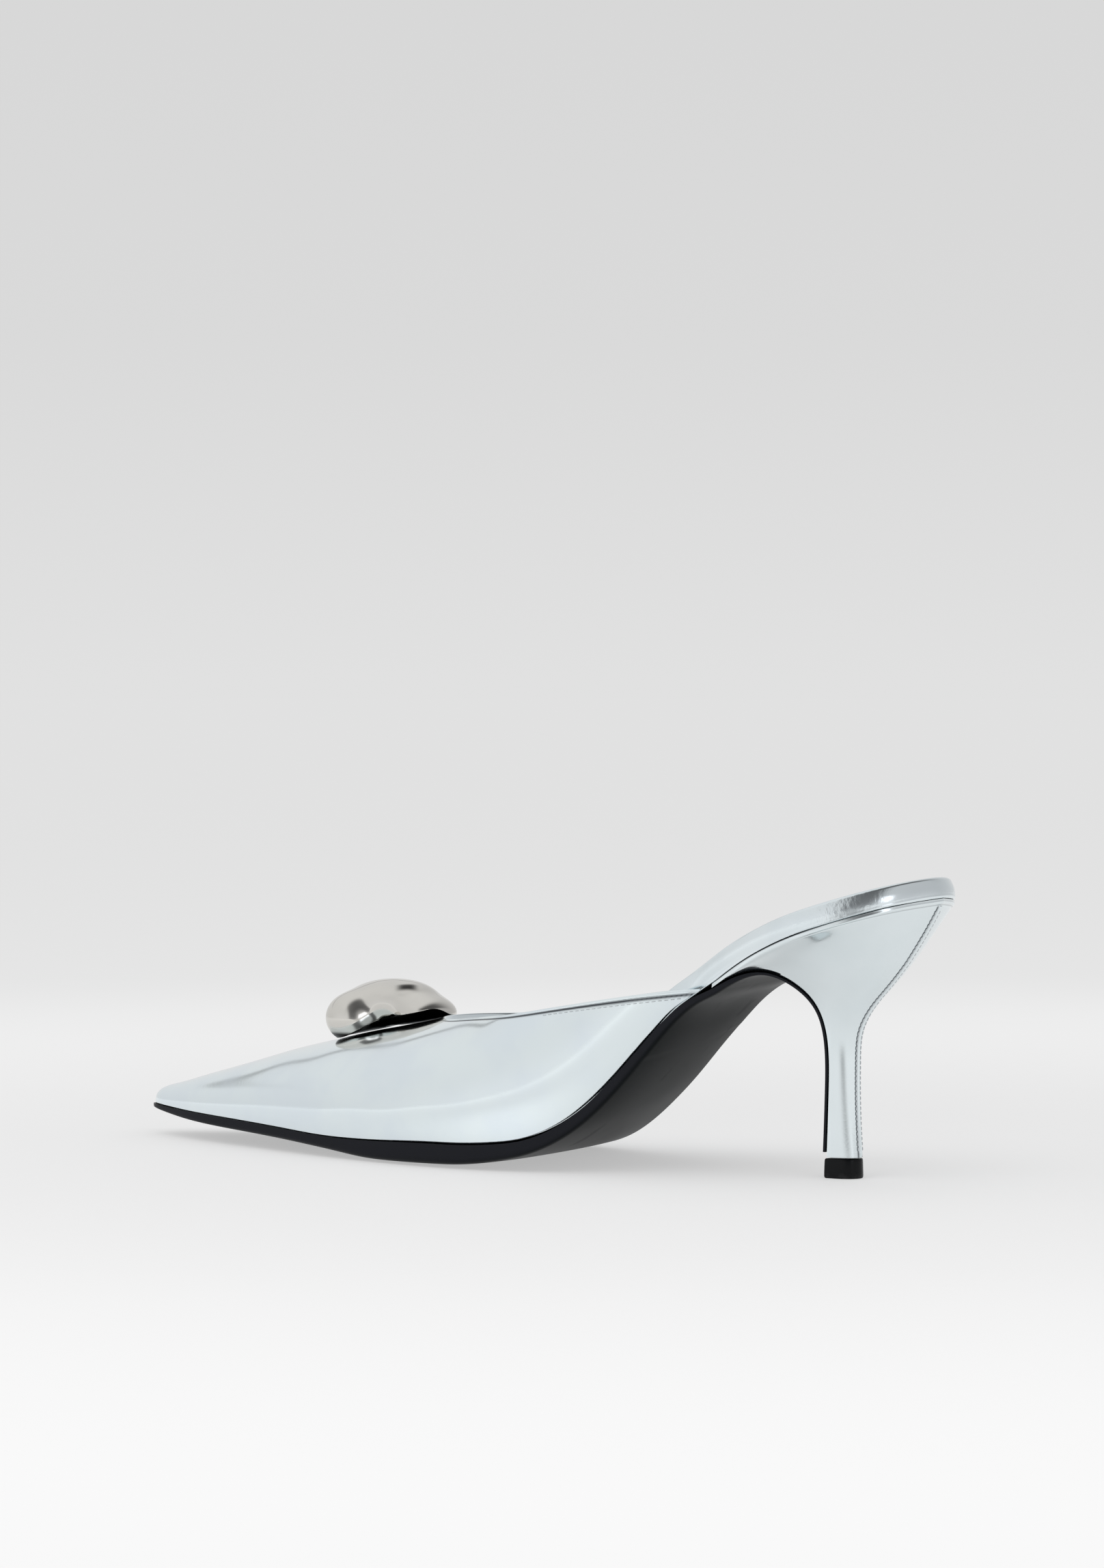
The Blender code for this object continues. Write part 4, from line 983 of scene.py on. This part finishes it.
def heel_ring(front, front_z, half, back, back_z, blend, sag, count=721):
    """Ring from the outer front corner round the back to the inner one."""
    turn = np.linspace(0.0, math.pi, count)
    share = np.sin(turn)
    side = np.where(turn < 0.5 * math.pi, -1.0, 1.0)
    x = front + (back - front) * share
    y = side * half * heel_outline(share, blend)
    fore_z, aft_z = bottom_z(FORE_X, 0.0), bottom_z(BACK_X, 0.0)
    seat_x = FORE_X + (BACK_X - FORE_X) * share
    curve = bottom_z(seat_x, 0.0) - (fore_z + (aft_z - fore_z) * share)
    tilt = bottom_z(seat_x, y) - bottom_z(seat_x, 0.0)
    near_front = (1.0 - share) ** 2
    lift = near_front * breast_twist(front) * y + (1.0 - near_front) * sag * tilt
    return xyz(x, y, front_z + (back_z - front_z) * share + sag * curve + lift)


def by_distance(ring, knots):
    """Points of a ring at distances from the back seam; knots run from -1 to 1, fine near 0."""
    run = run_of(ring)
    centre = run[len(run) // 2]
    reach = np.where(knots < 0, centre, run[-1] - centre)
    beyond = np.abs(knots) - SEAM_SHARE
    away = np.where(beyond < 0.0, SEAM_REACH * np.abs(knots) / SEAM_SHARE,
                    SEAM_REACH + (reach - SEAM_REACH) * beyond / (1.0 - SEAM_SHARE))
    away = np.sign(knots) * away
    return carried(centre + away, run, ring), away


heel_rows = np.arange(len(HEEL), dtype=float)
heel_curves = [spline(heel_rows, HEEL[:, k]) for k in range(3, 7)]
heel_run = spline(heel_rows, flap_run[-len(HEEL):])
knots = np.linspace(-1.0, 1.0, 121)


def heel_at(k):
    """Ring at a row of the table, row 0 to 12, fitted to the sole's flap in front."""
    s = float(heel_run(k))
    ahead = heading(s) * CLEARANCE * 1.1
    back, back_rise, blend, sag = [float(curve(k)) for curve in heel_curves]
    return heel_ring(float(line_x(s)) - ahead[1], float(line_z(s)) + ahead[0], float(line_half(s)) - SOLE_LIP,
                     back * SHOE_LENGTH, back_rise * HEEL_HEIGHT, min(max(blend, 0.0), 1.0), max(sag, 0.0))


rim_x = BACK_X - 0.002 * SHOE_LENGTH
top_ring = heel_ring(FORE_X, float(bottom_z(FORE_X, 0.0)), HEEL[0, 2] * COLUMN_WIDTH, rim_x,
                     float(bottom_z(rim_x, 0.0)), 0.0, 1.0)
top_ring[:, 2] = bottom_z(top_ring[:, 0], top_ring[:, 1])
first_ring = heel_at(0.0)
ks = np.concatenate([np.linspace(0.0, 1.0, 14), np.linspace(1.0, 2.4, 22)[1:], np.linspace(2.4, 12.0, 110)[1:]])
rings = [top_ring + (first_ring - top_ring) * t for t in np.linspace(0.0, 1.0, 12, endpoint=False)]
rings += [heel_at(k) for k in ks]
rings[-1][:, 2] = CAP_HEIGHT + CLEARANCE
heel_grid, from_seam = [np.stack(parts) for parts in zip(*[by_distance(ring, knots) for ring in rings])]
# the rings that the fold under the seat reaches, and the passes that smooth them
FOLDED, PASSES = 64, 160
eased = smoothed(heel_grid[:FOLDED], PASSES) - heel_grid[:FOLDED]
heel_grid[:FOLDED] += eased * ease(0.0, 0.16, 1.0 - np.abs(knots))[None, :, None]
print("seat's fold eased by, mm:", round(float(np.linalg.norm(eased, axis=-1).max()) / MM, 2))
print("heel rings", heel_grid.shape)

# %% Roll, seam and breast of the heel
# in mm: the roll under the seat and the hollow beneath it, the half width of the seam's ridge and the
# place of the hollow beside it, and the height of both rolls and the depth of both hollows
BEAD, BEAD_HOLLOW, RIDGE, RIDGE_HOLLOW, HIGH, HOLLOW = 0.85, 1.85, 0.62, 1.05, 0.30, 0.10
depth = np.concatenate([np.zeros((1, heel_grid.shape[1])),
                        np.cumsum(np.linalg.norm(np.diff(heel_grid, axis=0), axis=2), axis=0)]) / MM
heel_out = grid_normals(heel_grid)
middle_line = heel_grid.mean(axis=1, keepdims=True)
heel_out = heel_out * np.sign((heel_out * (heel_grid - middle_line)).sum(axis=-1, keepdims=True))
behind = ease(-8.0 * MM, 12.0 * MM, heel_grid[..., 0])
away = np.abs(from_seam) / MM
fade = ease(1.6, 2.6, depth)
bead = HIGH * bell(depth, BEAD, 0.50) - HOLLOW * bell(depth, BEAD_HOLLOW, 0.25)
ridge = HIGH * bell(away, 0.0, RIDGE, 4) - HOLLOW * bell(away, RIDGE_HOLLOW, 0.22)
push = (bead * behind + ridge * fade) * MM
push[[0, -1]] = 0.0
# painted shade: dark along the top edge where the heel meets the seat, weaker behind, and in the hollow under
# the roll and the hollows beside the seam
front_line = 1.0 - 0.75 * ease(-2.0 * MM, 12.0 * MM, heel_grid[..., 0])
crease_shade = bell(depth, 0.0, 0.16) * front_line + 0.35 * bell(depth, 1.70, 0.20) * behind
crease_shade = crease_shade + 0.85 * bell(away, 0.95, 0.28) * fade
fore = 1.0 - bell(np.abs(knots), 1.0, 0.02)
heel_skin = heel_grid + heel_out * (push * fore[None, :])[..., None]
breast = np.linspace(0.0, 1.0, 13)[1:-1]
closing = heel_skin[:, -1:, :] + (heel_skin[:, :1, :] - heel_skin[:, -1:, :]) * breast[None, :, None]
crease_shade = np.concatenate([crease_shade * fore[None, :], np.zeros((len(crease_shade), len(breast)))], axis=1)
crease_shade = np.clip(np.concatenate([crease_shade[:1], crease_shade, crease_shade[-1:]]), 0.0, 1.0)
make_piece("heel_cover", [(capped(np.concatenate([heel_skin, closing], axis=1)), True, False)], (heel_leather,),
           values={"edge": 0.0 * crease_shade, "crease_shade": crease_shade}, sharp=55.0, stands_for=("heel",))

# %% Stitches of the back seam
seam_paths = []
rows_used = np.arange(30, len(from_seam) - 2)
for reach in (-RIDGE_HOLLOW, RIDGE_HOLLOW):
    column = np.argmin(np.abs(from_seam[rows_used] - reach * MM), axis=1)
    seam_paths.append([smoothed(grid[rows_used, column], 3) for grid in (heel_grid, heel_out)])
stitches("back_seam_stitches", seam_paths, (0.46 * MM, 0.20 * MM), 1.30 * MM, -0.10 * MM)

# %% [markdown]
# ## The heel's cap
#
# The cap is a small block of hard plastic, straight in front and round behind, a touch wider than the
# column so the leather is protected. Its edges are eased, which gives the fine highlights.

# %% Heel cap
def cap_outline(count):
    """Closed plan outline: x from the front edge back by sin, y by (1 - share^2.8)^(1/2)."""
    turn = np.linspace(0.0, math.pi, count)
    share = np.sin(turn)
    side = np.where(turn < 0.5 * math.pi, -1.0, 1.0)
    x = (-0.5 + share) * CAP_LENGTH
    y = side * 0.5 * CAP_WIDTH * np.sqrt(np.maximum(1.0 - share**2.8, 0.0)) * (1.0 + 0.06 * share)
    arc = np.stack([x, y], axis=-1)
    front = np.linspace(0.0, 1.0, 16)[1:-1, None]
    return np.concatenate([arc, arc[-1:] + (arc[:1] - arc[-1:]) * front])


outline = cap_outline(90)
levels = np.array((
    (0.00, 0.00), (0.50, 0.00), (0.86, 0.00), (0.925, 0.02), (0.965, 0.14), (0.990, 0.36), (1.000, 0.75),
    (0.998, 1.60), (0.990, 3.00), (0.980, 4.40), (0.972, 4.78), (0.955, 5.02), (0.930, 5.14), (0.880, 5.20),
    (0.50, 5.20), (0.00, 5.20)))
cap_grid = np.stack([xyz(outline[:, 0] * share, outline[:, 1] * share, z * MM) for share, z in levels])
make_piece("heel_top_piece", [(cap_grid, True, False)], (black_cap,), stands_for=("heel_cap",))

# %% [markdown]
# ## The metal pebble
#
# The ornament is a cast drop of metal with soft lobes and a waist. Such a form is easy to say as
# swellings that melt into one another: each adds a bell of fullness about its middle, dents take some
# away, and the skin is where the sum is zero. A few lines give a smooth form without a single edge,
# which is what its clean mirror needs. Its underside is laid to the vamp and lifts off at the right.

# %% Pebble as a sum of swellings
PEBBLE = np.array((36.5, 24.8, 15.0)) * MM
PEBBLE_X = place(0.3235)
# middle (along, across, over) and half sizes as shares of the three sizes, turn in degrees
SWELLS = ((-0.016, 0.081, 0.140, 0.353, 0.395, 0.420, 9.0),
          (-0.274, -0.218, -0.160, 0.211, 0.298, 0.453, -20.0),
          (-0.236, 0.145, 0.013, 0.230, 0.302, 0.393, 0.0), (0.290, 0.024, -0.047, 0.219, 0.355, 0.307, 0.0))
# middle, reach as a share of the length, depth
DENTS = ((0.123, -0.524, -0.067, 0.151, 0.50), (0.041, -0.081, 0.573, 0.110, 0.20),
         (-0.088, -0.452, 0.227, 0.093, 0.24))


def fullness(spots):
    """-1 + sum of exp(2.6 (1 - d^2)) over the swellings - sum of depth exp(1 - r^2) over the dents."""
    total = np.full(spots.shape[:-1], -1.0)
    for swell in np.array(SWELLS):
        away, turn = spots - swell[:3] * PEBBLE, math.radians(swell[6])
        x = away[..., 0] * math.cos(turn) + away[..., 1] * math.sin(turn)
        y = away[..., 1] * math.cos(turn) - away[..., 0] * math.sin(turn)
        size = np.stack([x, y, away[..., 2]], axis=-1) / (swell[3:6] * PEBBLE)
        total += np.exp(2.6 * (1.0 - (size**2).sum(axis=-1)))
    for dent in np.array(DENTS):
        away = (spots - dent[:3] * PEBBLE) / (dent[3] * PEBBLE[0])
        total -= dent[4] * np.exp(1.0 - (away**2).sum(axis=-1))
    return total


def pebble_skin(rows, columns):
    """For a grid of directions, the distance at which the fullness is zero, found by halving."""
    theta = np.linspace(0.0, math.pi, rows)[:, None]
    phi = np.linspace(0.0, 2.0 * math.pi, columns, endpoint=False)[None, :]
    toward = xyz(np.sin(theta) * np.cos(phi), 0.8 * np.sin(theta) * np.sin(phi), 0.45 * np.cos(theta))
    far = np.full((rows, columns), 1.25 * PEBBLE[0])
    reach = halved(0.0 * far, far, lambda away: fullness(toward * away[..., None]) > 0.0, 34)
    return toward * reach[..., None]


pebble_form = pebble_skin(151, 280)
print("pebble, mm:", np.round(np.ptp(pebble_form.reshape(-1, 3), axis=0) / MM, 1).tolist())


# %% Pebble laid on the vamp
def vamp_z(x, y):
    """Height of the upper's outer face over a point of the plan, by halving the section's angle."""
    at = station(x)
    angle = halved(np.zeros(x.shape), np.full(x.shape, math.pi), lambda turn: section(at, turn)[..., 1] < y)
    return section(at, angle)[..., 2]


# the small pit on top, painted dark as a painted reflection: place from the pebble's middle (along, across),
# half sizes, and its direction
PIT = np.array((5.9, -2.0, 2.7, 1.5)) * MM
PIT_COS, PIT_SIN = 0.826, 0.563


reach = 0.22 * PEBBLE[0]
ends = vamp_z(PEBBLE_X + np.array([-reach, reach]), np.zeros(2))
pitch = math.atan2(ends[1] - ends[0], 2.0 * reach) - math.radians(11.0)
middle_z = float(vamp_z(np.array([PEBBLE_X]), np.zeros(1))[0]) + 0.333 * PEBBLE[2]
ahead, beside, over = np.moveaxis(pebble_form, -1, 0)
pebble_x = PEBBLE_X + ahead * math.cos(pitch) - over * math.sin(pitch)
pebble_z = middle_z + ahead * math.sin(pitch) + over * math.cos(pitch)
lifted = ease(-0.30, 0.08, ahead / PEBBLE[0]) * ease(-0.12, 0.28, -beside / PEBBLE[1])
under_z = vamp_z(pebble_x, beside) + 1.3 * CLEARANCE + lifted * 0.18 * PEBBLE[2]
pebble_grid = np.stack([pebble_x, beside, np.maximum(pebble_z, under_z)], axis=-1)
pebble_out = grid_normals(pebble_grid)
pebble_out = pebble_out * np.sign((pebble_out * (pebble_grid - pebble_grid.mean(axis=(0, 1)))).sum())
turned_down = -0.60 - 0.20 * ease(-0.22, 0.08, ahead / PEBBLE[0])
under = 1.0 - ease(turned_down - 0.10, turned_down + 0.10, pebble_out[..., 2])
# painted reflection: a dark spot in the pit on top
pit_x, pit_y = pebble_grid[..., 0] - PEBBLE_X - PIT[0], pebble_grid[..., 1] - PIT[1]
pit_reflection = ((pit_x * PIT_COS + pit_y * PIT_SIN) / PIT[2]) ** 4 + ((pit_y * PIT_COS - pit_x * PIT_SIN) / PIT[3]) ** 4
under = np.maximum(under, np.exp(-pit_reflection) * (pebble_out[..., 2] > 0.0))
make_piece("vamp_pebble", [(pebble_grid, True, False)], (plating,), values={"under": under},
           stands_for=("ornament",))

# %% [markdown]
# ## Floor and light
#
# A mirror shows its room, so the room is most of this picture: a wide pale floor and a pale dome with
# soft changes of tone. A few soft shapes stand in the dome, and a pool and a foot lie on the floor, for
# the mirrors alone: the camera itself looks past them at a plain backdrop. Far away the floor takes the
# backdrop's tone, so no horizon shows.

# %% Floor
# the camera's direction in plan, and the places and strengths of what the mirrors see on the floor
TOWARDS = (-0.559, 0.829, 0.0)
POOL, POOL_WIDTH, POOL_GAIN, FOOT_LOSS = (-0.080, -0.058), 0.035, 0.20, 0.50
BRIGHTEST = 0.875


def floor_material():
    """Pale matt paper that glows a little: its tone falls to a base by e^-(distance behind / 0.834 m).
    Both are painted light: the falling tone stands for the light's falloff, and the glow lightens the
    shoe's shadow. In mirrors alone it also shows a painted pool of light beside the shoe and a painted
    dark reflection shaped as the foot of the camera's stand.
    """
    tree = paint("floor", Roughness=0.9, Specular_IOR_Level=0.15)

    def dot(*axis):
        return tree.dot(tree.spot, axis)

    inputs = {0: tree.spot, 1: (-0.02, 0.0, 0.0)}
    distance = tree.node("ShaderNodeVectorMath", {"operation": "DISTANCE"}, inputs, 1)
    # painted light: the tone falls away behind as the light's falloff
    tone = 0.752 + 0.161 * math.e ** (0.0 - (dot(*TOWARDS) + 0.49) / 0.834) + 0.004 * tree.noise(30.0, 4.0)
    tone = tree.node("ShaderNodeMath", {"operation": "MINIMUM"}, {0: tone, 1: BRIGHTEST})
    mirrored = tree.node("ShaderNodeLightPath", {}, {}, 3)
    ahead, beside = dot(0.5, -0.866, 0.0), dot(0.866, 0.5, 0.0)
    # in mirrors alone: a painted dark reflection shaped as a stand's foot, and a painted pool of light
    foot = tree.bell(beside / (0.02 + 0.17 * ahead), 0.0, 1.0) * tree.smooth(ahead, 0.09, 0.20)
    pool = tree.bell(tree.part(tree.spot, 0), POOL[0], POOL_WIDTH)
    pool = pool * tree.bell(tree.part(tree.spot, 1), POOL[1], POOL_WIDTH)
    tone = tone * (1.0 + mirrored * (POOL_GAIN * pool - FOOT_LOSS * foot))
    far = tree.smooth(distance, 0.12, 0.9)
    tree.join(tree.shader.inputs["Base Color"], tree.grey(tone))
    # painted light: the glow lightens the shoe's shadow
    glow = tree.node("ShaderNodeEmission", {}, {"Color": tree.grey(tone * (1.50 - 0.50 * far))})
    mixed = tree.node("ShaderNodeMixShader", {}, {0: 0.35 + 0.65 * far, 2: glow})
    tree.links.new(tree.shader.outputs[0], mixed.socket.node.inputs[1])
    tree.links.new(mixed.socket, tree.nodes["Material Output"].inputs["Surface"])
    return tree.owner


radius = np.array([0.0, 0.3, 0.6, 1.2, 2.5, 5.0, 12.0, 30.0])[:, None]
around = np.linspace(0.0, 2.0 * math.pi, 48, endpoint=False)[None, :]
disc = xyz(-0.1 + radius * np.cos(around), radius * np.sin(around), 0.0 * radius)
floor_mesh = bpy.data.meshes.new("floor")
floor_mesh.from_pydata(disc.reshape(-1, 3).tolist(), [], grid_faces(*disc.shape[:2], True).tolist())
floor_mesh.materials.append(floor_material())
linked("floor", floor_mesh)
print("floor radius, m:", radius[-1, 0])

# %% Dome
world = bpy.data.worlds.new("dome")
bpy.context.scene.world = world
sky = Tree(world)
direction = sky.node("ShaderNodeTexCoord", {}, {}, 0)
height = sky.part(direction, 2)


def ramp(*stops):
    """Grey tones by height: 0 straight down, 0.5 at the horizon, 1 overhead."""
    tones = sky.node("ShaderNodeValToRGB", {}, {0: height * 0.5 + 0.5})
    elements = tones.socket.node.color_ramp.elements
    while len(elements) < len(stops):
        elements.new(0.5)
    for element, (where, level) in zip(elements, stops):
        element.position, element.color = where, colour(level, level, level)
    return tones


room = ramp((0.0, 0.76), (0.5, 0.75), (0.62, 0.775), (0.80, 0.80), (1.0, 0.86))
plain = ramp((0.0, 0.752), (0.5, 0.752), (0.535, 0.70), (0.57, 0.686), (1.0, 0.686))


def spot_in_dome(azimuth, elevation, wide, tall):
    """1 in the middle of a soft oval in the dome, 0 outside: exp of minus the fourth powers."""
    az, el = math.radians(azimuth), math.radians(elevation)
    ahead = (math.cos(el) * math.cos(az), math.cos(el) * math.sin(az), math.sin(el))
    beside = (-math.sin(az), math.cos(az), 0.0)
    above = (-math.sin(el) * math.cos(az), -math.sin(el) * math.sin(az), math.cos(el))
    front, right, over = [sky.dot(direction, axis) for axis in (ahead, beside, above)]
    away = (right / math.tan(math.radians(wide))) ** 4.0 + (over / math.tan(math.radians(tall))) ** 4.0
    return math.e ** (0.0 - away) * sky.smooth(front, 0.0, 0.3)


facing = sky.dot(direction, TOWARDS)
low = sky.bell(height, 0.0, 0.34) * sky.smooth(0.0 - facing, -0.3, 0.6)
lit = sky.mix(0.8 * low, room, colour(0.86, 0.86, 0.87))
# azimuth, elevation, half width, half height in degrees, share of the way to a tone
SHAPES = ((147.0, 27.5, 26.0, 1.1, 0.55, 0.055), (25.0, 30.0, 44.0, 30.0, 0.50, 0.30),
          (-57.0, 27.0, 16.0, 33.0, 0.80, 0.06), (5.0, 72.0, 34.0, 17.0, 0.90, 0.04),
          (-31.0, 12.0, 6.0, 10.0, 1.0, 1.7))
for *shape, share, tone in SHAPES:
    lit = sky.mix(share * spot_in_dome(*shape), lit, colour(tone, tone, tone * 1.05))
seen = sky.node("ShaderNodeLightPath", {}, {}, 0)
back = sky.nodes["Background"]
sky.join(back.inputs["Color"], sky.mix(seen, lit, plain))
back.inputs["Strength"].default_value = 1.0
print("soft shapes in the dome:", len(SHAPES))

# %% Softbox
lamp_data = bpy.data.lights.new("softbox", "AREA")
lamp_data.shape = "RECTANGLE"
lamp_data.size, lamp_data.size_y, lamp_data.energy = 1.4, 1.0, 4.0
lamp = linked("softbox", lamp_data)
lamp.location = (0.35, -0.75, 1.35)
lamp.rotation_euler = (math.radians(32.0), 0.0, math.radians(24.0))
lamp.visible_glossy = False
bpy.context.scene.view_settings.view_transform = "Standard"
print("softbox, m:", lamp_data.size, lamp_data.size_y)
